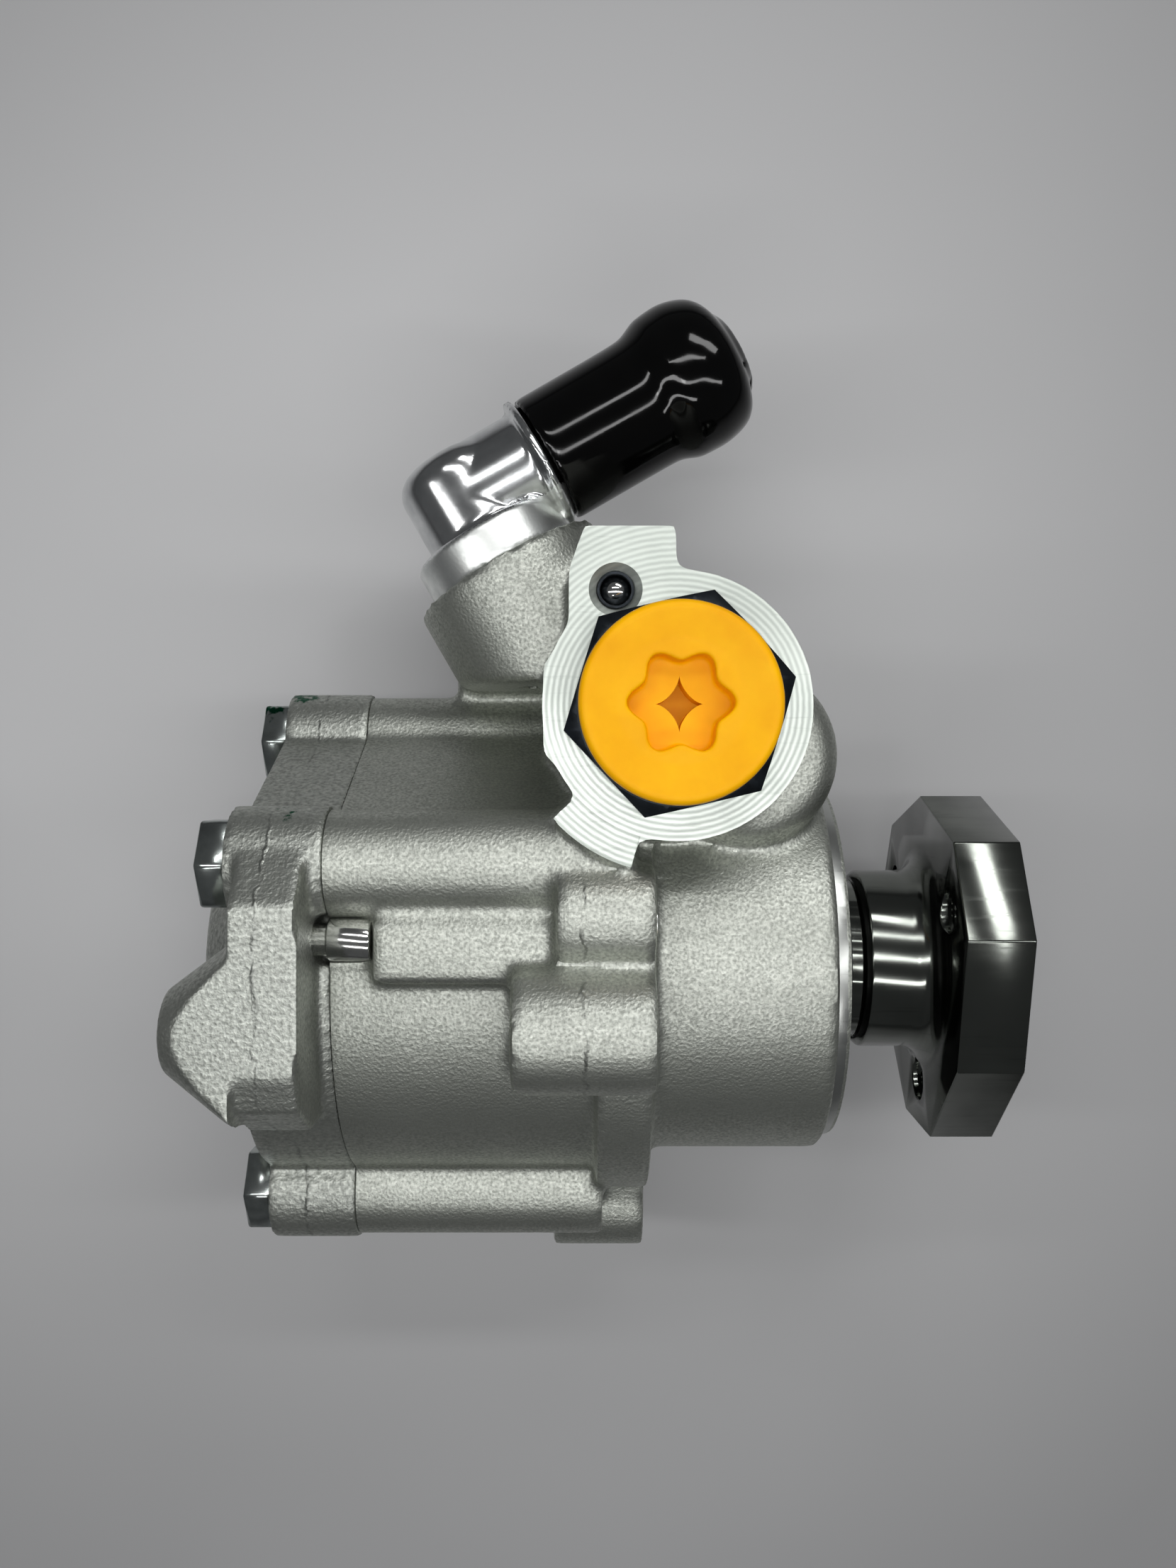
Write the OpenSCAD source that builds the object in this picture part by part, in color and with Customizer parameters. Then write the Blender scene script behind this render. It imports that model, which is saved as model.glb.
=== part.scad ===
// Power steering pump: balanced vane pump in a die-cast housing.
// The shaft lies along X, the pulley side is +X, and the pressure port faces +Z.
// The origin is the centre of the hub's front face, where the pulley seats.

/* [Hub] */
// Thickness of the hub's flange
hub_flange_t = 10; // [8:0.5:14]
// Radius from the axis to the corners beside each tapped hole
hub_lobe_r = 28.5; // [27:0.5:32]
// Radius from the axis to the corner between two holes
hub_mid_r = 26.5; // [25:0.5:28]
// Angle from a tapped hole to the corner beside it
hub_lobe_half_angle = 16; // [12:1:20]
// Pitch circle of the tapped holes
hub_pcd = 40; // [38:0.5:42]
// Number of tapped holes
hub_holes = 3; // [3:1:4]
// Core radius of an M8 thread
m8_core_r = 3.4; // [3.3:0.05:3.5]
// Clearance radius for an M8 screw
m8_clear_r = 4.2; // [4.1:0.1:4.6]
// Angle of the first tapped hole, from +Y towards +Z
hub_clock = 62; // [0:1:119]
// Radius of the pilot that centres the pulley
pilot_r = 12.5; // [11:0.25:13]
// Length of the pilot
pilot_len = 3; // [2:0.5:5]
// Radius of the neck behind the flange
neck_r = 14.25; // [13.5:0.25:16]
// Length of the neck
neck_len = 11.5; // [9:0.5:14]
// Fillet between the neck and the flange
neck_fillet = 4; // [2:0.5:5]
// Radius of the ground journal that the seal runs on
journal_r = 12.5; // [12:0.25:13]
// Length of the journal
journal_len = 11.5; // [10:0.5:14]

/* [Nose] */
// Gap from the back of the hub's flange to the front of the nose
nose_gap = 16.5; // [15:0.5:20]
// Radius of the cast nose
nose_r = 29.9; // [29:0.1:32]
// Length of the cast nose in front of the mounting face
nose_len = 26.5; // [26:0.5:34]
// Radius of the machined spigot on the nose
spigot_r = 28; // [27:0.25:28.5]
// Length of the machined spigot
spigot_len = 2; // [1.5:0.25:4]
// Radius of the bearing seat in the nose
bearing_seat_r = 23.5; // [22.5:0.25:24]

/* [Body] */
// Thickness of the front mounting flange
flange_t = 8; // [6:0.5:12]
// Radius of the mounting flange round the nose
flange_r = 36; // [34:0.5:38]
// Length from the mounting face to the joint with the cover
body_len = 45; // [44:0.5:56]
// Radius of the barrel
barrel_r = 33; // [32.5:0.25:35]
// Radius of the cavity that holds the pumping cartridge
cavity_r = 29; // [28.5:0.1:29.5]
// Radius of the circle that the cover screws stand on
screw_circle_r = 35.8; // [35:0.1:38]
// Radius of the rounded rib round each cover screw
rib_r = 7.5; // [6.5:0.25:9]
// Angle of the top screw, from +Y towards +Z
screw_clock = -9; // [-12:1:-4]
// Angle between the two screws of a pair
screw_pair_angle = 70; // [66:1:74]
// Depth of the flat flank between a pair of ribs, below the ribs' tops
flank_drop = 3; // [1.5:0.25:5]

/* [Mounting lugs] */
// Height of the long bolt's axis above the shaft
long_bolt_z = 37.5; // [37:0.25:41]
// Sideways place of the long bolt's axis
long_bolt_y = -5; // [-6.5:0.25:-3.5]
// Radius of the front lug that the long bolt passes through
long_lug_r = 8.6; // [7.5:0.1:10]
// Length of that lug
long_lug_len = 19.5; // [14:0.5:24]
// Height of the upper lug's axis above the shaft
upper_lug_z = 35; // [34:0.25:38]
// Sideways place of the upper lug's axis
upper_lug_y = 10.3; // [9:0.1:12]
// Radius of the upper lug
upper_lug_r = 7.4; // [6.5:0.1:8.5]
// Length of the upper lug
upper_lug_len = 13.5; // [12:0.5:18]
// Height of the bottom lug's axis
bottom_lug_z = -10; // [-14:0.5:-6]
// Sideways place of the bottom lug's axis
bottom_lug_y = -42; // [-45:0.5:-40]
// Radius of the bottom lug
bottom_lug_r = 8; // [7:0.25:10]
// Length of the bottom lug
bottom_lug_len = 15; // [12:0.5:20]
// Depth of a tapped blind hole in a lug
lug_thread_len = 12; // [9:0.5:14]

/* [Port block] */
// Distance of the pressure port's axis behind the mounting face, towards the nose if negative
port_back = -2.8; // [-5:0.2:0]
// Sideways place of the pressure port's axis
port_y = 38.9; // [38:0.1:41]
// Height of the machined port face
port_face_z = 40; // [39:0.25:44]
// Radius of the machined ring round the port
port_ring_r = 18.2; // [17.5:0.1:20]
// Radius of the lower spot face round the ring
spot_face_r = 22.6; // [21:0.1:23]
// Step from the port face down to the spot face
spot_face_drop = 2.5; // [1.5:0.25:4]
// Lowest point of the valve boss
valve_boss_z = -32; // [-36:0.5:-30]
// Width across the flats of the union's hexagon
union_af = 27; // [26:0.5:28]
// Angle of a corner of the union's hexagon from +X
union_clock = 13; // [0:1:59]
// Height of the union's hexagon
union_hex_h = 5; // [4:0.5:8]
// Radius of the union's shank
union_shank_r = 10; // [9.75:0.25:10.5]
// Length of the union's shank
union_shank_len = 20; // [17:0.5:22]
// Radius of the union's bore
union_bore_r = 8.4; // [8:0.1:8.6]
// Radius of the outlet orifice
orifice_r = 2.5; // [1.5:0.25:3.5]

/* [Outlet plug] */
// Radius of the plug's flange
plug_flange_r = 13.3; // [12:0.1:13.5]
// Thickness of the plug's flange
plug_flange_t = 2.8; // [2:0.2:4]
// Length of the plug's barrel inside the union
plug_barrel_len = 10; // [8:0.5:12]
// Mean radius of the six-lobed recess
plug_recess_r = 6.2; // [5.6:0.1:6.6]
// How far the lobes rise and fall from that mean
plug_lobe_h = 0.8; // [0.4:0.1:1]
// Reach of the star hole's four points
plug_star_r = 3.9; // [3:0.1:4.5]
// Thickness of the recess's floor
plug_floor_t = 1.6; // [1.2:0.1:2.5]

/* [Flow valve] */
// Radius of the valve bore
valve_r = 8; // [7.5:0.1:8.4]
// Length of the spool
spool_len = 22; // [18:0.5:24]
// Free room for the spool's spring
valve_spring_len = 24; // [20:0.5:25]
// Wire radius of the valve spring
valve_wire_r = 0.7; // [0.5:0.05:0.9]
// Number of turns of the valve spring
valve_turns = 6; // [4:1:8]

/* [Inlet] */
// Direction of the inlet boss in the XY plane, degrees from +X
inlet_angle = 120; // [115:1:125]
// Distance of the inlet face behind the mounting face
inlet_back = 22.3; // [20:0.2:25]
// Sideways place of the inlet face's centre
inlet_y = 62.6; // [61:0.2:65]
// Height of the inlet's axis
inlet_z = 5; // [3:0.5:7]
// Radius of the cast inlet boss
inlet_boss_r = 15.6; // [14.5:0.1:17]
// Radius of the elbow's collar
collar_r = 12.5; // [11.5:0.25:14]
// Thickness of the elbow's collar
collar_t = 6.6; // [5:0.2:8]
// Outer radius of the elbow's tube
tube_r = 9.2; // [8.8:0.1:9.8]
// Bore radius of the elbow
tube_bore_r = 7; // [6:0.1:7.5]
// Depth of the elbow's stub in the boss
stub_len = 11; // [9:0.5:13]
// Height of the elbow's corner above the inlet face
corner_h = 12; // [11.5:0.25:14]
// Reach of the elbow's closed end past its corner
elbow_end = 8.3; // [7.5:0.1:9]
// Distance from the corner to the ring bead
ring_at = 13.1; // [12.5:0.1:15]
// Radius of the ring bead
ring_r = 10.9; // [10.4:0.1:12]
// Thickness of the ring bead
ring_t = 2; // [1.5:0.1:3]
// Length of the hose spigot past the ring bead
spigot_tube_len = 32; // [28:0.5:36]
// Radius of the hose bead near the spigot's end
hose_bead_r = 10.3; // [9.9:0.1:11]

/* [Inlet cap] */
// Wall of the vinyl cap
cap_wall = 1.2; // [0.8:0.1:1.6]
// Length of the cap's straight skirt
cap_skirt_len = 19.5; // [16:0.5:22]
// Depth of the cap's end past the tube
cap_end = 3; // [2:0.25:5]

/* [Cover] */
// Thickness of the cover at its screws
cover_t = 13.5; // [12:0.5:16]
// Radius of the cover's lobe round each screw
cover_lobe_r = 8; // [7.5:0.1:9]
// Radius of the dome's foot
dome_foot_r = 30; // [27:0.5:32]
// Radius of the dome's flat back
dome_top_r = 18; // [16:0.5:20]
// Height of the dome
dome_h = 8.5; // [6:0.5:10]
// Setback of the ear's face from the joint
ear_setback = 2; // [1.5:0.25:4]
// Thickness of the ear
ear_t = 9.5; // [8:0.5:11]
// Reach of the ear above the long bolt's axis
ear_reach = 7.5; // [6:0.25:10]
// Height of the boss behind the ear
ear_boss_h = 9.5; // [7:0.5:12]
// Radius of the boss at its foot
ear_foot_r = 13; // [11:0.5:14]
// Radius of the boss at its end
ear_end_r = 5.6; // [5:0.1:7]
// Depth of the tapped hole in the ear
ear_thread_len = 15; // [12:0.5:17]

/* [Cover screws] */
// Width across the flats of a screw head
screw_af = 12; // [11:0.5:13]
// Height of a screw head
screw_head_h = 4.5; // [4:0.25:6]
// Length of thread in the housing
screw_grip = 20; // [16:0.5:24]

/* [Locating dowel] */
// Sideways place of the dowel
dowel_y = 6.9; // [6:0.1:8]
// Height of the dowel
dowel_z = 33.6; // [33:0.1:34.5]
// Radius of the dowel in the housing
dowel_r = 3; // [2.5:0.1:3.2]
// Radius of the dowel in the cover
dowel_tip_r = 2.3; // [1.8:0.1:2.4]
// Length of the dowel on each side of the joint
dowel_half_len = 6; // [5:0.5:8]

/* [Expander plug] */
// Place of the expander plug behind the port's axis
expander_back = 8.3; // [7:0.1:10]
// Place of the expander plug beside the port's axis
expander_side = 15.5; // [15:0.1:17]
// Radius of the expander's sleeve
sleeve_r = 2.5; // [2.2:0.1:3]
// Wall of the expander's sleeve
sleeve_wall = 0.4; // [0.3:0.05:0.6]
// Length of the expander's sleeve
sleeve_len = 6; // [5:0.25:8]

/* [Shaft and bearing] */
// Radius of the drive shaft
shaft_r = 8.5; // [8:0.1:8.8]
// Radius of the rear journal
rear_journal_r = 7; // [6:0.1:7.2]
// Wall of the rear bush
bush_wall = 1.5; // [1:0.1:2]
// Width of the ball bearing
bearing_w = 14; // [12:0.5:14]
// Radius of the bearing's balls
ball_r = 4.35; // [3.8:0.05:4.4]
// Number of balls
ball_count = 7; // [6:1:8]
// Thickness of the bearing's circlip
clip_t = 1.8; // [1.2:0.1:2.2]
// Width of the shaft seal
seal_w = 7; // [6:0.5:7.5]

/* [Cartridge] */
// Width of the rotor and cam ring
rotor_w = 16; // [12:0.5:16]
// Outer radius of the rotor
rotor_r = 19.3; // [18.5:0.1:19.5]
// Smallest radius inside the cam ring
cam_minor_r = 19.7; // [19.6:0.1:20.4]
// Rise of the cam from its smallest to its largest radius
cam_rise = 2.8; // [1.5:0.1:3.2]
// Outer radius of the cam ring
cam_outer_r = 27.5; // [27:0.1:28]
// Number of vanes
vane_count = 10; // [8:1:10]
// Thickness of a vane
vane_t = 1.8; // [1.4:0.1:2]
// Radial length of a vane
vane_len = 6.5; // [5.5:0.1:7]
// Thickness of the front pressure plate
front_plate_t = 8; // [6:0.5:8]
// Thickness of the rear plate
rear_plate_t = 5.5; // [4:0.25:5.5]
// Height of the spring chamber in front of the pressure plate
spring_room = 3; // [2.5:0.25:3.5]
// Radius of the two dowels through the cartridge
pin_r = 2; // [1.5:0.1:2.2]

/* [Fits] */
// Radial clearance where one piece runs in another
run_gap = 0.05; // [0.02:0.01:0.1]
// Radial clearance where one piece is pressed into another
seat_gap = 0.02; // [0.01:0.01:0.05]
// Section radius of the larger seal rings
o_ring_r = 1; // [0.8:0.05:1.2]

/* [Hidden] */
$fn = 64;
// Overlap that makes two features of one piece run together
sink = 0.5;
// Room that a cutter reaches past the face it starts from
past = 1;
// Room between two faces that must not touch
face_gap = 0.05;
// Step between the ends of features that run together, so that one cut finishes them
stagger = 0.5;
// Size of a block that cuts away everything past a face
block = 300;

// Stations along the shaft, from the pulley back
x_neck_front = -hub_flange_t;
x_neck_back = x_neck_front - neck_len;
x_hub_end = x_neck_back - journal_len;
x_spigot = x_neck_front - nose_gap;
x_nose = x_spigot - spigot_len;
x_face = x_nose - nose_len;
x_flange_back = x_face - flange_t;
x_joint = x_face - body_len;
x_cover_back = x_joint - cover_t;
x_dome = x_cover_back - dome_h;
x_seat = x_cover_back + 0.4;
x_ear_face = x_joint - ear_setback;
x_ear_back = x_ear_face - ear_t;
x_ear_end = x_ear_back - ear_boss_h;
seal_recess = 1;
x_seal_front = x_spigot - seal_recess;
x_seal_back = x_seal_front - seal_w;
clip_room = 2.2;
x_clip_front = x_seal_back - clip_room;
x_clip_back = x_clip_front - clip_t;
x_bearing_back = x_clip_back - bearing_w;
// The cartridge stands on the cover's spigot, and the wall in front of it closes the spring chamber
cover_spigot_len = 2 * o_ring_r + 2.5;
x_rear_plate_back = x_joint + cover_spigot_len;
x_cam_back = x_rear_plate_back + rear_plate_t;
x_plate_back = x_cam_back + rotor_w;
x_plate_front = x_plate_back + front_plate_t;
x_wall_back = x_plate_front + spring_room;
x_bush_front = x_joint;
bush_len = 12;
x_bush_back = x_bush_front - bush_len;

// Cover screws and ribs, as angles from +Y towards +Z
screw_angles = [screw_clock, screw_clock + screw_pair_angle,
                screw_clock + 180, screw_clock + screw_pair_angle + 180];
screw_hole_len = screw_grip + 2;

// Pressure port
port_x = x_face - port_back;
valve_top_z = port_face_z - union_shank_len;
valve_floor_z = valve_top_z - spool_len - valve_spring_len;
port_core_r = port_ring_r - 0.7;
union_seat_r = union_shank_r + seat_gap;

// Inlet axis, elbow axis and the elbow's corner
inlet_dir = [cos(inlet_angle), sin(inlet_angle), 0];
elbow_dir = [sin(inlet_angle), -cos(inlet_angle), 0];
inlet_face = [x_face - inlet_back, inlet_y, inlet_z];
corner = inlet_face + corner_h * inlet_dir;
inlet_boss_len = 34;
inlet_foot_y = screw_circle_r + rib_r + 0.3;
passage_r = 3;
passage_y = inlet_foot_y + 4;
passage_z = inlet_z - 10.5;
inlet_bore_len = (inlet_y - passage_y) / sin(inlet_angle) + 1;
stub_bore_r = tube_r + seat_gap;
tube_end = ring_at + ring_t / 2 + spigot_tube_len;

// Bearing rings
pitch_r = (shaft_r + bearing_seat_r) / 2;
inner_ring_r = pitch_r - 0.78 * ball_r;
outer_ring_bore_r = pitch_r + 0.74 * ball_r;
groove_r = ball_r + run_gap;
cage_half_w = ball_r * 1.25;
cage_half_t = ball_r * 0.32;

// Cartridge
wall_bore_r = shaft_r + 2.5;
vane_tip_r = rotor_r - 0.05;
vane_slot_w = vane_t + 0.04;
vane_root_r = vane_tip_r - vane_len;
slot_end_r = vane_root_r - 1.7;
slot_end_hole_r = 1.3;
cam_mean_r = cam_minor_r + cam_rise / 2;
pin_circle_r = (cam_outer_r + cam_minor_r) / 2;
pin_reach = 4;
spline_teeth = 12;
spline_w = 2;
spline_h = 1;

// A point on a circle round the shaft, at an angle from +Y towards +Z
function on_clock(radius, angle) = [0, radius * cos(angle), radius * sin(angle)];
// The points of a quarter round that turns a corner from start to start + 90 degrees
function quarter(centre, radius, start, steps = 6) =
    [for (i = [0:steps]) centre + radius * [cos(start + 90 * i / steps), sin(start + 90 * i / steps)]];

// Turned form along X, from points of station and radius
module turned(points) {
    rotate([0, 90, 0])
        rotate_extrude()
            polygon([for (p = points) [p[1], p[0]]]);
}

// Round bar along X between two stations
module bar(x_from, x_to, radius) {
    translate([min(x_from, x_to), 0, 0])
        rotate([0, 90, 0])
            cylinder(r = radius, h = abs(x_to - x_from));
}

// Round bar along X, away from the shaft
module side_bar(x_from, x_to, y, z, radius) {
    translate([0, y, z])
        bar(x_from, x_to, radius);
}

// Plate along X with its outline in the YZ plane
module plate(x_from, x_to, outline) {
    translate([min(x_from, x_to), 0, 0])
        rotate([90, 0, 90])
            linear_extrude(abs(x_to - x_from))
                polygon(outline);
}

// Straight web from the shaft's axis out to a lug
module web(x_from, x_to, y, z, width) {
    rotate([atan2(z, y), 0, 0])
        translate([min(x_from, x_to), 0, -width / 2])
            cube([abs(x_to - x_from), norm([y, z]), width]);
}

// Round bar between two points
module rod(start, finish, radius) {
    run = finish - start;
    translate(start)
        rotate([0, acos(run.z / norm(run)), atan2(run.y, run.x)])
            cylinder(r = radius, h = norm(run));
}

// Upright post with rounded edges
module post(radius, z_low, z_high, edge) {
    rotate_extrude()
        polygon(concat([[0, z_low], [radius - edge, z_low]],
                       quarter([radius - edge, z_low + edge], edge, -90),
                       quarter([radius - edge, z_high - edge], edge, 0),
                       [[0, z_high]]));
}

// Ring of round section about X
module seal_ring(x, ring_radius, section_r) {
    translate([x, 0, 0])
        rotate([0, 90, 0])
            rotate_extrude()
                translate([ring_radius, 0])
                    circle(r = section_r, $fn = 24);
}

// Things that follow the inlet's axis, with local Z out of the inlet face
module on_inlet() {
    translate(inlet_face)
        rotate([0, 90, inlet_angle])
            children();
}

// Things that follow the elbow's outlet, with local Z out of the corner
module on_elbow() {
    translate(corner)
        rotate([0, 90, inlet_angle - 90])
            children();
}

// Everything past a station, towards the pulley
module in_front_of(x) {
    translate([x, -block / 2, -block / 2])
        cube(block);
}

// Everything past a station, away from the pulley
module behind(x) {
    translate([x - block, -block / 2, -block / 2])
        cube(block);
}

// Rounded ribs and webs of the body or cover, round the cover screws
module screw_ribs(x_from, x_to, radius) {
    for (a = screw_angles) {
        p = on_clock(screw_circle_r, a);
        side_bar(x_from, x_to, p.y, p.z, radius);
        web(x_from - stagger, x_to - stagger, p.y, p.z, 2 * radius - 1);
    }
}

// Flat flank between the two ribs of a pair
module flank(x_from, x_to, first_angle) {
    reach = screw_circle_r + rib_r - flank_drop;
    a = on_clock(reach, first_angle);
    b = on_clock(reach, first_angle + screw_pair_angle);
    plate(x_from, x_to, [[0, 0], [a.y, a.z], [b.y, b.z]]);
}

// Holes at the cover screws
module screw_holes(x_from, x_to, radius) {
    for (a = screw_angles) {
        p = on_clock(screw_circle_r, a);
        side_bar(x_from, x_to, p.y, p.z, radius);
    }
}

// Housing

// Outline of the machined port face round the ring, with its tab and its bump
module port_outline() {
    tab_left = -14.6;
    tab_right = -0.2;
    tab_top = 24;
    bump_left = -18;
    circle(r = port_ring_r);
    polygon([[tab_left, 0], [tab_left, tab_top - 5.9], [tab_left + 2.1, tab_top], [tab_right, tab_top],
             [tab_right, 0]]);
    polygon([[0, 8], [tab_left, 9], [bump_left, 5.6], [bump_left, -6.4], [tab_left, -9.5], [0, -9.5]]);
}

// Lug along X, with the web that joins it to the barrel
module lug(y, z, radius, length, web_len) {
    side_bar(x_face + past, x_face - length, y, z, radius);
    web(x_face + past + stagger, x_face - web_len + stagger, y, z, 2 * radius - 1);
}

module housing_casting() {
    bar(x_nose, x_face - past, nose_r);
    difference() {
        union() {
            bar(x_face - past, x_joint - past, barrel_r);
            bar(x_face + 2 * past, x_flange_back, flange_r);
            lug(long_bolt_y, long_bolt_z, long_lug_r, long_lug_len, flange_t);
            lug(upper_lug_y, upper_lug_z, upper_lug_r, upper_lug_len, upper_lug_len);
            lug(bottom_lug_y, bottom_lug_z, bottom_lug_r, bottom_lug_len, bottom_lug_len);
            // Ribs for the cover screws, with the flat flanks between a pair
            screw_ribs(x_joint - 2 * past, x_flange_back + 2 * stagger, rib_r);
            flank(x_joint - 3 * past, x_flange_back + stagger / 2, screw_clock);
            flank(x_joint - 3 * past, x_flange_back + stagger / 2, screw_clock + 180);
            // Low rib that carries the locating dowel
            side_bar(x_joint - 4 * past, x_face - 2 * past, dowel_y, dowel_z - dowel_r - 0.6, dowel_r + 2);
        }
        in_front_of(x_face);
        behind(x_joint);
    }
    // Inlet boss, cut square above the top rib, and the low web that carries it
    intersection() {
        on_inlet()
            translate([0, 0, -inlet_boss_len])
                cylinder(r = inlet_boss_r, h = inlet_boss_len);
        translate([-block / 2, inlet_foot_y, -block / 2])
            cube(block);
    }
    boss_left = inlet_face + inlet_boss_r * [-inlet_dir.y, inlet_dir.x, 0];
    translate([boss_left.x + 5, 0, passage_z - passage_r - 2])
        cube([port_x - boss_left.x - 5, inlet_y - 10, 2 * passage_r + 3]);
}

module port_block() {
    translate([port_x, port_y, 0]) {
        post(port_core_r, valve_boss_z, port_face_z - spot_face_drop, 3);
        translate([0, 0, inlet_z])
            linear_extrude(port_face_z - inlet_z)
                port_outline();
    }
    // Cast bulge between the port block and the nose
    bulge_r = 13.5;
    translate([port_x + 11.2, port_y - 6.3, 0])
        post(bulge_r, valve_boss_z + 8, port_face_z - 13, 5);
}

module housing_bores() {
    // Seal and bearing seat, circlip groove, shaft hole and cartridge cavity
    bar(x_spigot + past, x_bearing_back, bearing_seat_r);
    bar(x_clip_front, x_clip_back, bearing_seat_r + 1.5);
    bar(x_bearing_back + past, x_wall_back - past, wall_bore_r);
    bar(x_wall_back, x_joint - past, cavity_r);
    // Tapped holes of the cover screws and the mounting lugs
    screw_holes(x_joint - past, x_joint + screw_hole_len, m8_core_r);
    side_bar(x_face + past, x_face - lug_thread_len, upper_lug_y, upper_lug_z, m8_core_r);
    side_bar(x_face + past, x_face - lug_thread_len, bottom_lug_y, bottom_lug_z, m8_core_r);
    side_bar(x_face + past, x_face - long_lug_len - past, long_bolt_y, long_bolt_z, m8_clear_r);
    // Dowel hole, which breaks out of the low rib
    side_bar(x_joint - past, x_joint + dowel_half_len + face_gap, dowel_y, dowel_z, dowel_r + seat_gap);
    // Union seat, valve bore, and the drilling from the pressure chamber
    translate([port_x, port_y, valve_top_z])
        cylinder(r = union_seat_r, h = union_shank_len + past);
    translate([port_x, port_y, valve_floor_z])
        cylinder(r = valve_r, h = valve_top_z - valve_floor_z + past);
    chamber_port = [x_wall_back - spring_room / 2, cavity_r - 3, 9];
    rod(chamber_port, [port_x, port_y, 9], 1.4);
    // Expander plug's drilling
    translate([port_x - expander_back, port_y + expander_side, 0]) {
        translate([0, 0, port_face_z - sleeve_len - 1])
            cylinder(r = sleeve_r + seat_gap, h = sleeve_len + 1 + past);
        translate([0, 0, port_face_z - 0.8])
            cylinder(r1 = sleeve_r, r2 = sleeve_r + 1, h = 1);
        translate([0, 0, port_face_z - 3 * sleeve_len])
            cylinder(r = sleeve_r - 0.7, h = 3 * sleeve_len);
    }
    // Elbow seat, and the cored passage to the cartridge
    on_inlet() {
        translate([0, 0, -stub_len - face_gap])
            cylinder(r = stub_bore_r, h = stub_len + past);
        translate([0, 0, -inlet_bore_len])
            cylinder(r = tube_bore_r, h = inlet_bore_len);
    }
    passage_x = x_plate_back + 2;
    rod([passage_x, passage_y, inlet_z], [passage_x, passage_y, passage_z - passage_r + 1], passage_r);
    rod([passage_x, passage_y, passage_z], [passage_x, cavity_r - 3, passage_z], passage_r);
}

module housing() {
    color("#a9abab")
        difference() {
            union() {
                difference() {
                    housing_casting();
                    // Spot face that cuts the near rib beside the port ring
                    translate([port_x, port_y, port_face_z - spot_face_drop])
                        cylinder(r = spot_face_r, h = spot_face_r);
                }
                port_block();
                // Machined spigot with a small lead
                turned([[x_nose - sink, 0], [x_nose - sink, spigot_r], [x_spigot - 0.6, spigot_r],
                        [x_spigot, spigot_r - 0.6], [x_spigot, 0]]);
            }
            housing_bores();
        }
}

// Rear cover

module cover_casting() {
    difference() {
        union() {
            bar(x_joint + past, x_cover_back - past, barrel_r);
            screw_ribs(x_joint + 3 * past, x_cover_back - 2 * past, cover_lobe_r);
            flank(x_joint + 4 * past, x_cover_back - 3 * past, screw_clock);
            flank(x_joint + 4 * past, x_cover_back - 3 * past, screw_clock + 180);
        }
        in_front_of(x_joint);
        behind(x_cover_back);
    }
    // Domed back with a sloping shoulder
    slope = (dome_foot_r - dome_top_r) / dome_h;
    turned([[x_cover_back + sink, 0], [x_cover_back + sink, dome_foot_r + slope * sink],
            [x_dome + 1, dome_top_r + slope], [x_dome, dome_top_r - 1], [x_dome, 0]]);
    // Spigot that enters the cavity and clamps the cartridge
    bar(x_joint - sink, x_rear_plate_back, cavity_r - 2 * run_gap);
    // Mounting ear, with the boss behind its tapped hole
    ear_top = long_bolt_z + ear_reach;
    near_y = on_clock(screw_circle_r, screw_angles[1]).y;
    plate(x_ear_face, x_ear_back, [[near_y, 0], [near_y, long_bolt_z - 2], [near_y - 9, ear_top],
                                   [long_bolt_y - 2, ear_top], [long_bolt_y - 7, ear_top - 4],
                                   [long_bolt_y - 11, long_bolt_z - 9], [long_bolt_y - 11, 0]]);
    intersection() {
        side_taper(x_ear_back + sink, x_ear_end);
        plate(x_ear_face, x_ear_end, [[-barrel_r, 0], [-barrel_r, ear_top], [barrel_r, ear_top],
                                      [barrel_r, 0]]);
    }
}

// Tapered boss behind the ear
module side_taper(x_foot, x_end) {
    translate([x_end, long_bolt_y, long_bolt_z])
        rotate([0, 90, 0])
            cylinder(r1 = ear_end_r, r2 = ear_foot_r, h = x_foot - x_end);
}

module rear_cover() {
    color("#9fa1a0")
        difference() {
            cover_casting();
            screw_holes(x_joint + past, x_cover_back - past, m8_clear_r);
            // Flat seats under the screw heads
            for (a = screw_angles) {
                p = on_clock(screw_circle_r, a);
                side_bar(x_seat, x_dome - past, p.y, p.z, cover_lobe_r - 0.6);
            }
            side_bar(x_ear_face + past, x_ear_face - ear_thread_len, long_bolt_y, long_bolt_z, m8_core_r);
            // Dowel hole and the setback in front of the ear
            side_bar(x_joint + past, x_joint - dowel_half_len - face_gap, dowel_y, dowel_z,
                     dowel_tip_r + seat_gap);
            translate([x_ear_face, dowel_y - dowel_r - 0.4, cavity_r + 1.6])
                cube([ear_setback + past, 2 * dowel_r + 0.8, barrel_r]);
            // Bush seat, seal groove and the ends of the cartridge dowels
            bar(x_bush_front - past, x_bush_back, rear_journal_r + bush_wall + seat_gap);
            bar(x_rear_plate_back + past, x_bush_front - past, shaft_r + 1);
            cover_groove();
            cartridge_pins(pin_r + seat_gap, face_gap);
        }
}

// Groove of the cover's seal ring
groove_x = (x_joint + x_rear_plate_back) / 2;
groove_floor_r = cavity_r - 2 * o_ring_r - 2 * face_gap;
module cover_groove() {
    half_w = o_ring_r + face_gap;
    difference() {
        bar(groove_x - half_w, groove_x + half_w, cavity_r + past);
        bar(groove_x - half_w - past, groove_x + half_w + past, groove_floor_r);
    }
}

module cover_o_ring() {
    color("#222222")
        seal_ring(groove_x, cavity_r - o_ring_r - face_gap, o_ring_r);
}

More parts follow.
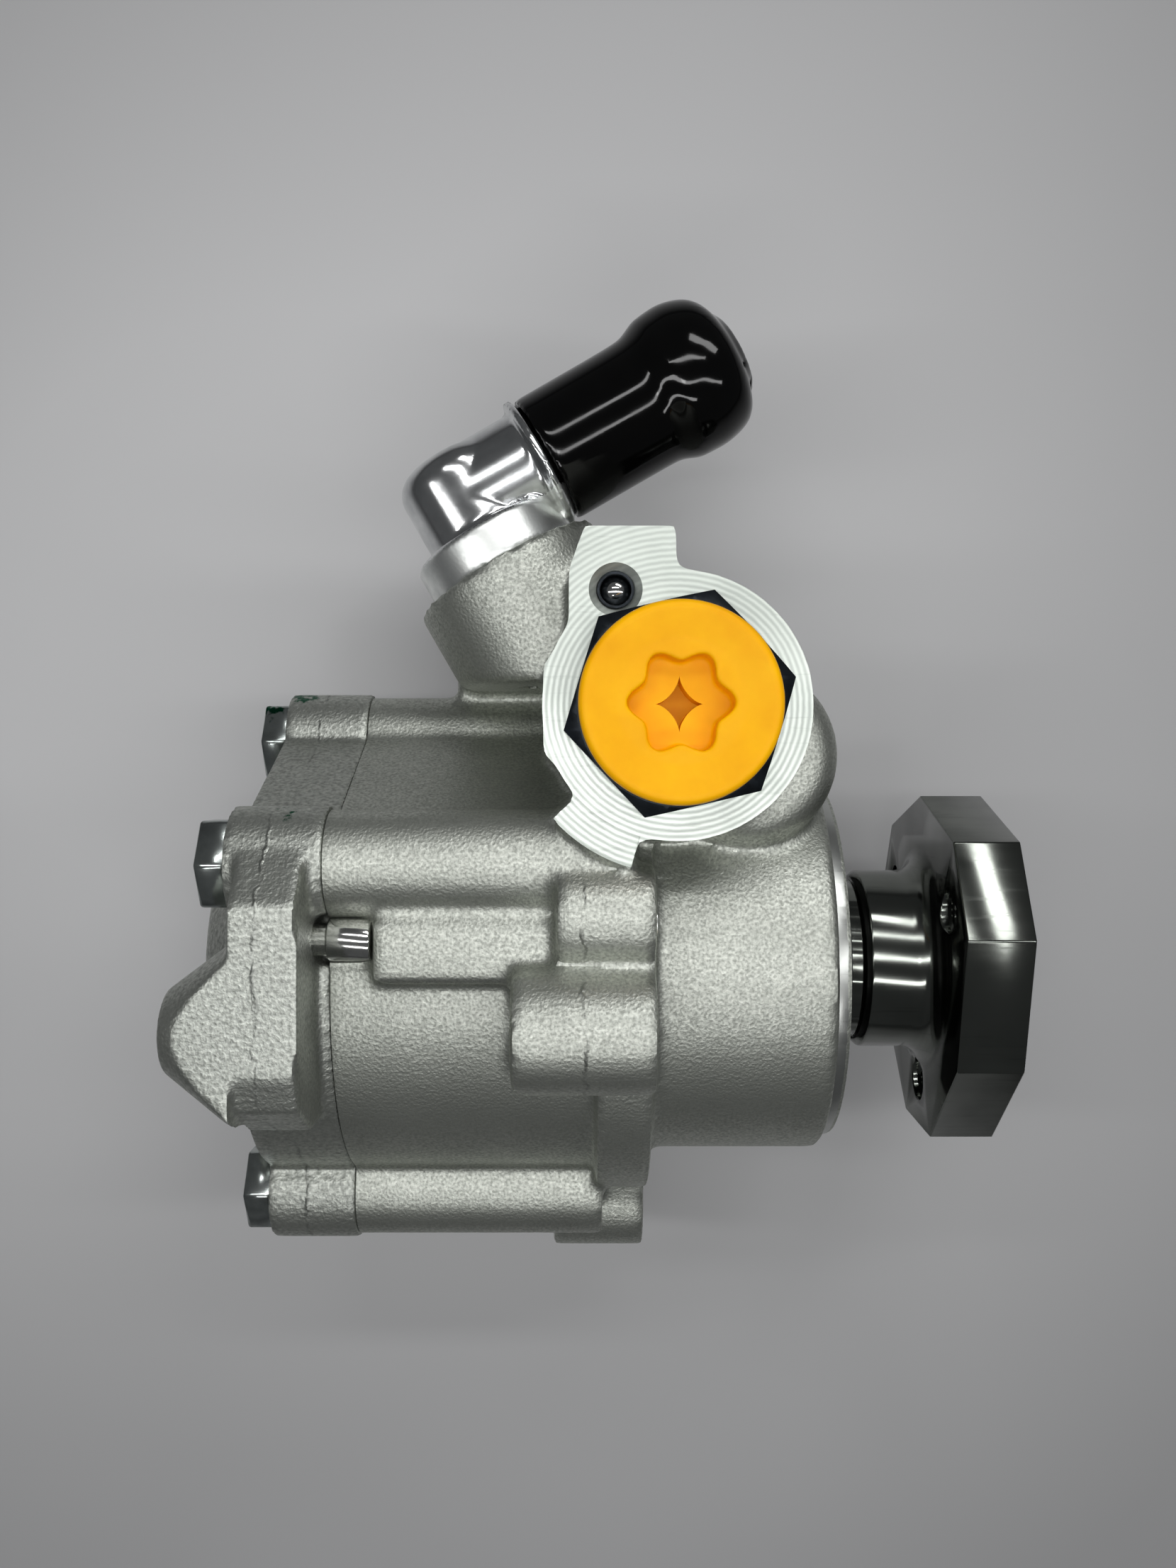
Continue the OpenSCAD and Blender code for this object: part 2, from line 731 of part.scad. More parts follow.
module cover_screws() {
    color("#c3c6c4")
        for (a = screw_angles) {
            p = on_clock(screw_circle_r, a);
            translate([x_seat, p.y, p.z])
                rotate([0, 90, 0]) {
                    shank_r = m8_core_r - seat_gap;
                    cylinder(r = shank_r, h = x_joint - x_seat + screw_grip);
                    // Head with a washer face and chamfered corners
                    translate([0, 0, -screw_head_h])
                        intersection() {
                            cylinder(d = screw_af / cos(30), h = screw_head_h, $fn = 6);
                            cylinder(r1 = screw_af / 2, r2 = screw_af / 2 + screw_head_h * 1.6,
                                     h = screw_head_h);
                        }
                }
        }
}

module locating_dowel() {
    color("#d4d4d0") {
        side_bar(x_joint, x_joint + dowel_half_len, dowel_y, dowel_z, dowel_r);
        side_bar(x_joint + sink, x_joint - dowel_half_len, dowel_y, dowel_z, dowel_tip_r);
    }
}

// Cartridge

// The two dowels that line up the plates and the cam ring, on the cam's minor axis
module cartridge_pins(radius, extra) {
    for (side = [-1, 1])
        side_bar(x_rear_plate_back - pin_reach - extra, x_plate_back + pin_reach + extra,
                 side * pin_circle_r, 0, radius);
}

module cartridge_dowels() {
    color("#b9b9b6")
        cartridge_pins(pin_r, 0);
}

module cam_ring() {
    color("#8f9193")
        difference() {
            bar(x_plate_back, x_cam_back, cam_outer_r);
            steps = 72;
            plate(x_plate_back + past, x_cam_back - past,
                  [for (i = [0:steps - 1])
                      let (a = 360 * i / steps, r = cam_mean_r - cam_rise / 2 * cos(2 * a))
                          r * [cos(a), sin(a)]]);
            cartridge_pins(pin_r + seat_gap, face_gap);
        }
}

// Splined bar that drives the rotor
module spline(x_from, x_to, gap) {
    bar(x_from, x_to, shaft_r - spline_h + gap);
    for (i = [0:spline_teeth - 1])
        rotate([360 * i / spline_teeth, 0, 0])
            translate([min(x_from, x_to), 0, -spline_w / 2 - gap])
                cube([abs(x_to - x_from), shaft_r - 0.15 + gap, spline_w + 2 * gap]);
}

module rotor() {
    color("#85878a")
        difference() {
            bar(x_plate_back - face_gap, x_cam_back + face_gap, rotor_r);
            spline(x_plate_back + past, x_cam_back - past, seat_gap);
            for (i = [0:vane_count - 1])
                rotate([360 * (i + 0.5) / vane_count, 0, 0]) {
                    translate([x_cam_back - past, slot_end_r, -vane_slot_w / 2])
                        cube([rotor_w + 2 * past, rotor_r, vane_slot_w]);
                    side_bar(x_cam_back - past, x_plate_back + past, slot_end_r, 0, slot_end_hole_r);
                }
        }
}

// Vane in its slot, counted from 1
module vane(number) {
    if (number <= vane_count)
        color("#77797c")
            rotate([360 * (number - 0.5) / vane_count, 0, 0])
                translate([x_cam_back + face_gap, vane_root_r, -vane_t / 2])
                    cube([rotor_w - 2 * face_gap, vane_len, vane_t]);
}

// Two pairs of kidney ports through a plate
module kidneys(x_from, x_to) {
    kidney_angle = 44;
    rotate([0, 90, 0])
        translate([0, 0, min(x_from, x_to)])
            for (i = [0:3])
                rotate([0, 0, 45 + 90 * i - kidney_angle / 2])
                    rotate_extrude(angle = kidney_angle)
                        translate([cam_minor_r - 3.4, 0])
                            square([3, abs(x_to - x_from)]);
}

module front_pressure_plate() {
    color("#9a9c9e")
        difference() {
            bar(x_plate_front, x_plate_back, cavity_r - run_gap);
            bar(x_plate_front + past, x_plate_back - past, wall_bore_r);
            kidneys(x_plate_front + past, x_plate_back - past);
            cartridge_pins(pin_r + seat_gap, face_gap);
            difference() {
                bar(plate_ring_x - o_ring_r - face_gap, plate_ring_x + o_ring_r + face_gap, cavity_r + past);
                bar(plate_ring_x - 2 * o_ring_r, plate_ring_x + 2 * o_ring_r, groove_floor_r);
            }
        }
}

module rear_plate() {
    color("#9a9c9e")
        difference() {
            bar(x_cam_back, x_rear_plate_back, cam_outer_r);
            bar(x_cam_back + past, x_rear_plate_back - past, shaft_r + 1);
            kidneys(x_cam_back + past, x_cam_back - rear_plate_t / 2);
            cartridge_pins(pin_r + seat_gap, face_gap);
        }
}

plate_ring_x = x_plate_front - front_plate_t / 3;
module plate_o_ring() {
    color("#222222")
        seal_ring(plate_ring_x, cavity_r - o_ring_r - face_gap, o_ring_r);
}

// Dished spring washer that holds the plate against the cam ring
module plate_spring() {
    washer_t = 1.2;
    inner_r = wall_bore_r + 2;
    outer_r = cam_minor_r + 3;
    front = x_wall_back - seat_gap;
    back = x_plate_front + seat_gap;
    color("#6d6f72")
        turned([[front, inner_r], [back + washer_t, outer_r], [back, outer_r], [front - washer_t, inner_r]]);
}

// Shaft line

module drive_shaft() {
    clip_gap = 1;
    x_step = x_cam_back - rear_plate_t / 2;
    color("#b2b3b4")
        difference() {
            union() {
                bar(-1, x_plate_back + face_gap, shaft_r - seat_gap);
                spline(x_plate_back + face_gap + sink, x_cam_back - clip_gap, 0);
                bar(x_cam_back, x_step, shaft_r - spline_h);
                bar(x_step + sink, x_bush_back + clip_gap, rear_journal_r);
            }
            // Groove of the rotor's circlip
            difference() {
                bar(x_cam_back + face_gap, x_cam_back - clip_gap, shaft_r + past);
                bar(x_cam_back + past, x_cam_back - 2 * clip_gap, shaft_r - spline_h - 0.8);
            }
        }
}

module rotor_circlip() {
    color("#4a4c4e")
        difference() {
            bar(x_cam_back, x_cam_back - 0.95, shaft_r + 0.6);
            bar(x_cam_back + past, x_cam_back - past, shaft_r - spline_h - 0.75);
            translate([x_cam_back - past, 0, -1.5])
                cube([2 * past, shaft_r + past, 3]);
        }
}

module rear_bush() {
    color("#a5793f")
        difference() {
            bar(x_bush_front, x_bush_back + face_gap, rear_journal_r + bush_wall);
            bar(x_bush_front + past, x_bush_back - past, rear_journal_r + run_gap);
        }
}

// Ring with a ball groove, between two radii
module race(r_in, r_out) {
    centre = x_clip_back - bearing_w / 2;
    difference() {
        bar(x_clip_back - seat_gap, x_bearing_back + seat_gap, r_out);
        bar(x_clip_back + past, x_bearing_back - past, r_in);
        translate([centre, 0, 0])
            rotate([0, 90, 0])
                rotate_extrude()
                    translate([pitch_r, 0])
                        circle(r = groove_r);
    }
}

module bearing_outer_ring() {
    color("#c4c6c8")
        race(outer_ring_bore_r, bearing_seat_r - seat_gap);
}

module bearing_inner_ring() {
    color("#c4c6c8")
        race(shaft_r, inner_ring_r);
}

module bearing_balls() {
    color("#d6d8da")
        for (i = [0:ball_count - 1])
            rotate([360 * i / ball_count, 0, 0])
                translate([x_clip_back - bearing_w / 2, pitch_r, 0])
                    sphere(r = ball_r);
}

module bearing_cage() {
    centre = x_clip_back - bearing_w / 2;
    color("#9c7a45")
        difference() {
            bar(centre - cage_half_w, centre + cage_half_w, pitch_r + cage_half_t);
            bar(centre - bearing_w, centre + bearing_w, pitch_r - cage_half_t);
            for (i = [0:ball_count - 1])
                rotate([360 * i / ball_count, 0, 0])
                    translate([centre, pitch_r - ball_r, 0])
                        rotate([-90, 0, 0])
                            cylinder(r = ball_r + run_gap, h = 2 * ball_r);
        }
}

module bearing_circlip() {
    color("#4a4c4e")
        difference() {
            bar(x_clip_front - seat_gap, x_clip_back + seat_gap, bearing_seat_r + 1.4);
            bar(x_clip_front + past, x_clip_back - past, bearing_seat_r - 2.6);
            translate([x_clip_back - past, 0, -3])
                cube([clip_t + 2 * past, 2 * bearing_seat_r, 6]);
        }
}

module shaft_seal() {
    lip_r = journal_r + run_gap;
    body_r = bearing_seat_r - seat_gap;
    lip_front = x_seal_front + 4;
    color("#1b1b1c")
        turned([[x_seal_back, body_r], [x_seal_front - 0.5, body_r], [x_seal_front, body_r - 0.5],
                [x_seal_front, neck_r + 3], [x_seal_front + 1, neck_r + 1.6], [lip_front, lip_r + 1.2],
                [lip_front, lip_r + 0.4], [x_seal_front + 1, lip_r], [x_seal_back + 2, lip_r],
                [x_seal_back, lip_r + 1], [x_seal_back, lip_r + 2], [x_seal_back + 4, lip_r + 2],
                [x_seal_back + 4, body_r - 2], [x_seal_back, body_r - 2]]);
}

module hub() {
    corner_step = 360 / hub_holes;
    outline = [for (i = [0:hub_holes - 1])
                  for (c = [[-hub_lobe_half_angle, hub_lobe_r], [hub_lobe_half_angle, hub_lobe_r],
                            [corner_step / 2, hub_mid_r]])
                      let (a = hub_clock + i * corner_step + c[0])
                          c[1] * [cos(a), sin(a)]];
    chamfer = 1;
    color("#b7b9b8")
        difference() {
            union() {
                plate(0, x_neck_front, outline);
                turned([[pilot_len, 0], [pilot_len, pilot_r - chamfer], [pilot_len - chamfer, pilot_r],
                        [-sink, pilot_r], [-sink, 0]]);
                turned(concat([[x_neck_front + sink, 0], [x_neck_front + sink, neck_r + neck_fillet]],
                              quarter_fillet(),
                              [[x_neck_back + chamfer, neck_r], [x_neck_back, neck_r - chamfer],
                               [x_neck_back, journal_r], [x_hub_end + chamfer, journal_r],
                               [x_hub_end, journal_r - chamfer], [x_hub_end, 0]]));
            }
            bar(pilot_len + past, x_hub_end - past, shaft_r);
            for (i = [0:hub_holes - 1]) {
                p = on_clock(hub_pcd / 2, hub_clock + i * corner_step);
                side_bar(past, x_neck_front - past, p.y, p.z, m8_core_r);
            }
        }
}

// Hollow fillet from the flange's back to the neck, as station and radius
function quarter_fillet(steps = 6) =
    [for (i = [0:steps])
        let (a = 90 * i / steps)
            [x_neck_front - neck_fillet * (1 - cos(a)), neck_r + neck_fillet * (1 - sin(a))]];

// Pressure outlet

module outlet_union() {
    color("#2b2f31")
        translate([port_x, port_y, 0])
            difference() {
                union() {
                    translate([0, 0, valve_top_z + face_gap])
                        cylinder(r = union_shank_r, h = union_shank_len);
                    translate([0, 0, port_face_z])
                        intersection() {
                            rotate([0, 0, union_clock])
                                cylinder(d = union_af / cos(30), h = union_hex_h, $fn = 6);
                            cylinder(r1 = union_af / 2 + 1.6 * union_hex_h, r2 = union_af / 2,
                                     h = union_hex_h);
                        }
                }
                translate([0, 0, valve_top_z + 6])
                    cylinder(r = union_bore_r, h = union_shank_len + union_hex_h);
                translate([0, 0, valve_top_z - past])
                    cylinder(r = orifice_r, h = union_shank_len);
                // Seal groove round the shank
                difference() {
                    translate([0, 0, union_ring_z - union_ring_r - face_gap])
                        cylinder(r = union_shank_r + past, h = 2 * (union_ring_r + face_gap));
                    translate([0, 0, union_ring_z - 2 * union_ring_r])
                        cylinder(r = union_groove_r, h = 4 * union_ring_r);
                }
            }
}

union_ring_r = 0.6;
union_ring_z = valve_top_z + 3;
union_groove_r = union_shank_r - 2 * union_ring_r - face_gap;
module union_o_ring() {
    color("#222222")
        translate([port_x, port_y, union_ring_z])
            rotate_extrude()
                translate([union_shank_r - union_ring_r - seat_gap, 0])
                    circle(r = union_ring_r, $fn = 24);
}

module valve_spool() {
    land_r = valve_r - 0.03;
    top = valve_top_z;
    foot = valve_top_z - spool_len;
    waist = 3;
    color("#a8aaac")
        translate([port_x, port_y, 0])
            rotate_extrude()
                polygon([[0, foot + 5], [4.5, foot + 5], [4.5, foot], [land_r, foot], [land_r, foot + 7],
                         [land_r - waist, foot + 8], [land_r - waist, top - 8], [land_r, top - 7],
                         [land_r, top - 1], [land_r - 1, top], [0, top]]);
}

// Coil of round wire that climbs along Z
module coil(coil_r, wire_r, height, turns, sides = 8, steps_per_turn = 16) {
    steps = turns * steps_per_turn;
    points = [for (i = [0:steps])
                 for (j = [0:sides - 1])
                     let (turn = 360 * i / steps_per_turn, round = 360 * j / sides,
                          r = coil_r + wire_r * cos(round))
                         [r * cos(turn), r * sin(turn),
                          wire_r * sin(round) + wire_r + (height - 2 * wire_r) * i / steps]];
    walls = [for (i = [0:steps - 1])
                for (j = [0:sides - 1])
                    let (k = (j + 1) % sides)
                        [i * sides + j, i * sides + k, (i + 1) * sides + k, (i + 1) * sides + j]];
    first_end = [for (j = [sides - 1:-1:0]) j];
    last_end = [for (j = [0:sides - 1]) steps * sides + j];
    polyhedron(points, concat(walls, [first_end, last_end]), convexity = 10);
}

module valve_spring() {
    coil_r = valve_r - valve_wire_r - 0.6;
    color("#8b8d8f")
        translate([port_x, port_y, valve_floor_z + seat_gap])
            coil(coil_r, valve_wire_r, valve_spring_len - 2 * seat_gap, valve_turns);
}

module outlet_plug() {
    seat_z = port_face_z + union_hex_h;
    top_z = seat_z + plug_flange_t;
    barrel_r_out = union_bore_r - run_gap;
    foot_z = seat_z - plug_barrel_len;
    dish = 0.8;
    steps = 72;
    color("#f4a911")
        translate([port_x, port_y, 0])
            difference() {
                rotate_extrude()
                    polygon(concat([[0, foot_z], [barrel_r_out - 0.6, foot_z], [barrel_r_out, foot_z + 2],
                                    [barrel_r_out, seat_z], [plug_flange_r, seat_z]],
                                   quarter([plug_flange_r - 1, top_z - 1], 1, 0),
                                   [[plug_recess_r + 2, top_z - dish], [0, top_z - dish]]));
                // Six-lobed recess
                translate([0, 0, foot_z + plug_floor_t])
                    linear_extrude(plug_barrel_len + plug_flange_t)
                        polygon([for (i = [0:steps - 1])
                                    let (a = 360 * i / steps)
                                        (plug_recess_r + plug_lobe_h * cos(6 * a)) * [cos(a), sin(a)]]);
                // Four-pointed star through the floor
                translate([0, 0, foot_z - past])
                    linear_extrude(plug_floor_t + 2 * past)
                        polygon([for (i = [0:steps - 1])
                                    let (a = 360 * i / steps)
                                        plug_star_r * [pow(cos(a), 3), pow(sin(a), 3)]]);
            }
}

// Inlet

module inlet_elbow() {
    end_h = corner_h + elbow_end;
    edge = 4;
    color("#c6c8c8")
        difference() {
            union() {
                // Turned barrel with its seating collar and closed round end
                on_inlet()
                    rotate_extrude()
                        polygon(concat([[0, -stub_len], [tube_r - 0.5, -stub_len], [tube_r, -stub_len + 0.5],
                                        [tube_r, 0], [collar_r, 0], [collar_r, collar_t - 0.8],
                                        [collar_r - 0.8, collar_t], [tube_r, collar_t]],
                                       quarter([tube_r - edge, end_h - edge], edge, 0),
                                       [[0, end_h]]));
                // Hose spigot with its ring bead and hose bead
                on_elbow()
                    rotate_extrude()
                        polygon([[0, 0], [tube_r, 0], [tube_r, ring_at - ring_t / 2],
                                 [ring_r, ring_at - ring_t / 4], [ring_r, ring_at + ring_t / 4],
                                 [tube_r, ring_at + ring_t / 2], [tube_r, tube_end - 9],
                                 [hose_bead_r, tube_end - 7], [hose_bead_r, tube_end - 5],
                                 [tube_r, tube_end - 3], [tube_r, tube_end - 1], [tube_r - 1, tube_end],
                                 [0, tube_end]]);
            }
            on_inlet()
                translate([0, 0, -stub_len - past])
                    cylinder(r = tube_bore_r, h = stub_len + corner_h + past);
            on_elbow() {
                cylinder(r = tube_bore_r, h = tube_end + past);
                sphere(r = tube_bore_r);
            }
            inlet_groove();
        }
}

inlet_ring_h = -stub_len / 2;
inlet_groove_r = tube_r - 2 * union_ring_r - face_gap;
module inlet_groove() {
    on_inlet()
        difference() {
            translate([0, 0, inlet_ring_h - union_ring_r - face_gap])
                cylinder(r = tube_r + past, h = 2 * (union_ring_r + face_gap));
            translate([0, 0, inlet_ring_h - 2 * union_ring_r])
                cylinder(r = inlet_groove_r, h = 4 * union_ring_r);
        }
}

module inlet_o_ring() {
    color("#222222")
        on_inlet()
            translate([0, 0, inlet_ring_h])
                rotate_extrude()
                    translate([tube_r - union_ring_r - seat_gap, 0])
                        circle(r = union_ring_r, $fn = 24);
}

module inlet_cap() {
    foot = ring_at + ring_t / 2;
    skirt_in = tube_r + run_gap;
    bulge_in = hose_bead_r + run_gap;
    shoulder = foot + cap_skirt_len;
    end_in = tube_end + cap_end - cap_wall;
    end_out = tube_end + cap_end;
    step_r = bulge_in - 2.5;
    round_r = 2.5;
    color("#101011")
        on_elbow()
            rotate_extrude()
                polygon(concat([[skirt_in, foot], [skirt_in + cap_wall, foot], [skirt_in + cap_wall, shoulder],
                                [bulge_in + cap_wall, shoulder + 3]],
                               quarter([bulge_in + cap_wall - round_r, end_out - 1.5 - round_r], round_r, 0),
                               [[step_r, end_out], [0, end_out], [0, end_in],
                                [tube_r - 1, end_in], [bulge_in, tube_end], [bulge_in, shoulder + 4],
                                [skirt_in, shoulder + 1]]));
}

// Expander plug

module expander_sleeve() {
    color("#caccc8")
        translate([port_x - expander_back, port_y + expander_side, port_face_z - sleeve_len - 0.5])
            difference() {
                cylinder(r = sleeve_r, h = sleeve_len);
                translate([0, 0, -past])
                    cylinder(r = sleeve_r - sleeve_wall, h = sleeve_len + 2 * past);
            }
}

module expander_ball() {
    ball = sleeve_r - sleeve_wall - seat_gap;
    color("#e2e4e4")
        translate([port_x - expander_back, port_y + expander_side, port_face_z - 0.6 - ball])
            sphere(r = ball);
}

housing();
rear_cover();
cover_o_ring();
cover_screws();
locating_dowel();
cartridge_dowels();
cam_ring();
rotor();
vane(1);  // vane_1
vane(2);  // vane_2
vane(3);  // vane_3
vane(4);  // vane_4
vane(5);  // vane_5
vane(6);  // vane_6
vane(7);  // vane_7
vane(8);  // vane_8
vane(9);  // vane_9
vane(10);  // vane_10
front_pressure_plate();
rear_plate();
plate_o_ring();
plate_spring();
drive_shaft();
rotor_circlip();
rear_bush();
bearing_outer_ring();
bearing_inner_ring();
bearing_balls();
bearing_cage();
bearing_circlip();
shaft_seal();
hub();
outlet_union();
union_o_ring();
valve_spool();
valve_spring();
outlet_plug();
inlet_elbow();
inlet_o_ring();
inlet_cap();
expander_sleeve();
expander_ball();
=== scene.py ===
# %% [markdown]
# # A power steering pump
# The pump is a die-cast vane pump from a car: an aluminium body with a pulley hub at its right end, a
# pressure port that faces up, a suction elbow at the top and a cast cover at its left end. The solids come
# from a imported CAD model, and this lesson gives them their finishes. Everything is in metres, in the CAD's
# own frame: +X runs along the shaft and out of the hub, +Z comes out of the pressure port.

# %% Load the solids
import math

import bmesh
import bpy
from mathutils import Matrix, Vector


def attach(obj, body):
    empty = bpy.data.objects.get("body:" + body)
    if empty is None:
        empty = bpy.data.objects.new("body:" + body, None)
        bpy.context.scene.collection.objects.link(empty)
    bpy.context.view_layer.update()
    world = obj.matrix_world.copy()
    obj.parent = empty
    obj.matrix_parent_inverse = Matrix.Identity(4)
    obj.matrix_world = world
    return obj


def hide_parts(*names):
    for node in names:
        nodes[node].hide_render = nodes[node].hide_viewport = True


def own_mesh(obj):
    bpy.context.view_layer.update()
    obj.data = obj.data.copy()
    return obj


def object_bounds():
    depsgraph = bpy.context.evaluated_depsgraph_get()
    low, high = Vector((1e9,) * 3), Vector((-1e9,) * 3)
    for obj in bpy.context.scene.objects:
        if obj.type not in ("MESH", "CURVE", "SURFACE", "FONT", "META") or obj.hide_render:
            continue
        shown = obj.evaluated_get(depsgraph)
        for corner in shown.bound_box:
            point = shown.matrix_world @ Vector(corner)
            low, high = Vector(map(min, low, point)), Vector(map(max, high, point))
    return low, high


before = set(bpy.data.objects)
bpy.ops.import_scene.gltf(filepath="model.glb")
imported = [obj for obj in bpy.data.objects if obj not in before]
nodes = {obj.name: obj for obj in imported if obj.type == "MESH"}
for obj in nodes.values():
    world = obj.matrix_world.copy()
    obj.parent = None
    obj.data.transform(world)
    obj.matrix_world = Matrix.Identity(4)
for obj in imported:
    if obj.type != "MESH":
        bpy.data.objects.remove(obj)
cad_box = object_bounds()
scene = bpy.context.scene
MM = 0.001
X, Y, Z = 0, 1, 2

# %% [markdown]
# ## Stations and radii
# The machined faces are cut at the same places as in the solid, in millimetres. Stations along the shaft
# run from the hub's face at 0 towards the cover.

# %% Stations and radii
SPIGOT_X = -26.5
NOSE_X = -28.5
FACE_X = -55
WALL_X = -63
JOINT_X = -100
SEAT_X = -113.1
SPIGOT_R = 28
SEAL_SEAT_R = 23.5
CAVITY_R = 29
PORT_AXIS = (-52.2, 38.9)
PORT_TOP = 40
PORT_R = 18.2
SPOT_R = 22.6
EXPANDER = (-60.5, 54.4)
SLEEVE_R = 2.5
SCREW_CIRCLE = 35.8
SCREW_ANGLES = (-9, 61, 171, 241)
# Core radius of an M8 thread
CORE_R = 3.4
# Lugs as (y, z, radius of the machined face, radius of the hole, its depth)
LUGS = [(10.3, 35, 6.2, CORE_R, 12), (-42, -10, 8.2, CORE_R, 12), (-5, 37.5, 7.3, 4.2, 19)]
EAR_HOLE = (-5, 37.5)
INLET_FACE = Vector((-77.3, 62.6, 5))
INLET_WAY = Vector((-0.5, 0.866025, 0))
SPIGOT_WAY = Vector((0.866025, 0.5, 0))
CORNER = INLET_FACE + 12 * INLET_WAY
COLLAR_T = 6
print("port axis at", PORT_AXIS, "joint at", JOINT_X)

# %% [markdown]
# ## Helpers for materials
# Colours are written as sRGB hex values, as a colour picker shows them, and a shader wants linear light,
# so one function converts them. `add` puts one node into a tree: an input that is another node's output
# becomes a link, and anything else is a constant. The others are short names for what every material uses.


# %% Material helpers
def linear(hex_colour):
    """The linear RGBA of an sRGB hex colour."""
    channels = [int(hex_colour[at:at + 2], 16) / 255 for at in (1, 3, 5)]
    curve = [c / 12.92 if c <= 0.04045 else ((c + 0.055) / 1.055) ** 2.4 for c in channels]
    return (*curve, 1.0)


def add(tree, kind, settings=None, inputs=None):
    """Adds one node to a tree, with its settings, its constants and its links."""
    node = tree.nodes.new(kind)
    for name, value in (settings or {}).items():
        setattr(node, name, value)
    for key, value in (inputs or {}).items():
        if isinstance(value, bpy.types.NodeSocket):
            tree.links.new(value, node.inputs[key])
        else:
            node.inputs[key].default_value = value
    return node


def start_material(name, constants):
    """A material whose shader has these constants: returns it with its tree, its shader and its place."""
    material = bpy.data.materials.new(name)
    material.use_nodes = True
    tree = material.node_tree
    shader = tree.nodes["Principled BSDF"]
    for key, value in constants.items():
        shader.inputs[key].default_value = value
    place = add(tree, "ShaderNodeTexCoord").outputs["Object"]
    return material, tree, shader, place


def noise(tree, place, size, detail=3.0, roughness=0.6):
    """A noise with features about this many millimetres across."""
    inputs = {"Vector": place, "Scale": 1 / (size * MM), "Detail": detail, "Roughness": roughness}
    return add(tree, "ShaderNodeTexNoise", None, inputs).outputs["Fac"]


def ramp(tree, value, low, high, start=0.0, end=1.0):
    """Maps low to high of a value to start to end, and holds it there outside."""
    inputs = {"Value": value, "From Min": low, "From Max": high, "To Min": start, "To Max": end}
    return add(tree, "ShaderNodeMapRange", None, inputs).outputs[0]


def maths(tree, operation, first, second=0.0):
    """One sum on two values."""
    return add(tree, "ShaderNodeMath", {"operation": operation}, {0: first, 1: second}).outputs[0]


# Sockets of a Mix node that mixes colours
MIX_A = 6
MIX_B = 7
MIX_OUT = 2


def mixed(tree, factor, first, second):
    """Two colours mixed by a factor."""
    inputs = {0: factor, MIX_A: first, MIX_B: second}
    return add(tree, "ShaderNodeMix", {"data_type": "RGBA"}, inputs).outputs[MIX_OUT]


def wire(tree, shader, colour, roughness, height, depth):
    """Links colour, roughness and a bump of this depth in millimetres to a shader."""
    relief = add(tree, "ShaderNodeBump", None, {"Height": height, "Strength": 1.0, "Distance": depth * MM})
    tree.links.new(colour, shader.inputs["Base Color"])
    tree.links.new(roughness, shader.inputs["Roughness"])
    tree.links.new(relief.outputs[0], shader.inputs["Normal"])


# %% [markdown]
# ## Die-cast aluminium, shot-blasted
# The body leaves its steel die with a skin that is then blasted with fine shot. The eye sees a grey metal
# with a dense grain of tiny dimples whose crests sparkle, and faint clouds where the metal froze at
# different speeds. Where the halves of the die met, a thin ragged ridge is left. An inspector's paint has
# left green smears on the cover.

# %% Die-cast aluminium
# Half width and height of the parting line, and how dark its root is
SEAM_W = 0.35
SEAM_H = 0.12
SEAM_SHADE = 0.4
SEAM_DARK = "#3c3d3c"
PAINT = "#0c5238"
CLOUD = 12
# Share of the broad clouds in a casting's tone, beside the fine grain
CLOUD_SHARE = 0.2


def smear_mask(tree, place, centre, size):
    """One inside a ragged blot about a point, and zero outside, in millimetres."""
    away = add(tree, "ShaderNodeVectorMath", {"operation": "DISTANCE"},
               {0: place, 1: [c * MM for c in centre]}).outputs["Value"]
    edge = ramp(tree, noise(tree, place, 1.6), 0.3, 0.7, -0.6 * size * MM, 0.6 * size * MM)
    return ramp(tree, maths(tree, "ADD", away, edge), 0.7 * size * MM, size * MM, 1.0, 0.0)


def die_cast(name, grain, depth, dark, pale, roughness, seam_x, seam_from_z, smears):
    """Blasted casting; grain and depth in millimetres, a parting line across X above some height."""
    material, tree, shader, place = start_material(name, {"Metallic": 1.0})
    fine = noise(tree, place, grain, 2.0, 0.5)
    broad = noise(tree, place, CLOUD, 3.0, 0.5)
    crests = maths(tree, "ADD", fine, maths(tree, "MULTIPLY", broad, CLOUD_SHARE))
    colour = mixed(tree, ramp(tree, crests, 0.4, 0.8), linear(dark), linear(pale))
    parts = add(tree, "ShaderNodeSeparateXYZ", None, {0: place}).outputs
    wander = ramp(tree, noise(tree, place, 4.0), 0.3, 0.7, -0.5 * MM, 0.5 * MM)
    broken = ramp(tree, noise(tree, place, 5.0), 0.42, 0.55)
    beside = maths(tree, "ADD", maths(tree, "SUBTRACT", parts["X"], seam_x * MM), wander)
    line = ramp(tree, maths(tree, "ABSOLUTE", beside), 0.0, SEAM_W * MM, 1.0, 0.0)
    above = ramp(tree, parts["Z"], seam_from_z * MM, (seam_from_z + 1) * MM)
    seam = maths(tree, "MULTIPLY", maths(tree, "MULTIPLY", line, above), broken)
    colour = mixed(tree, maths(tree, "MULTIPLY", seam, SEAM_SHADE), colour, linear(SEAM_DARK))
    for centre, size in smears:
        colour = mixed(tree, smear_mask(tree, place, centre, size), colour, linear(PAINT))
    gloss = ramp(tree, fine, 0.3, 0.7, roughness + 0.08, roughness - 0.08)
    height = maths(tree, "ADD", fine, maths(tree, "MULTIPLY", seam, SEAM_H / depth))
    wire(tree, shader, colour, gloss, height, depth)
    return material


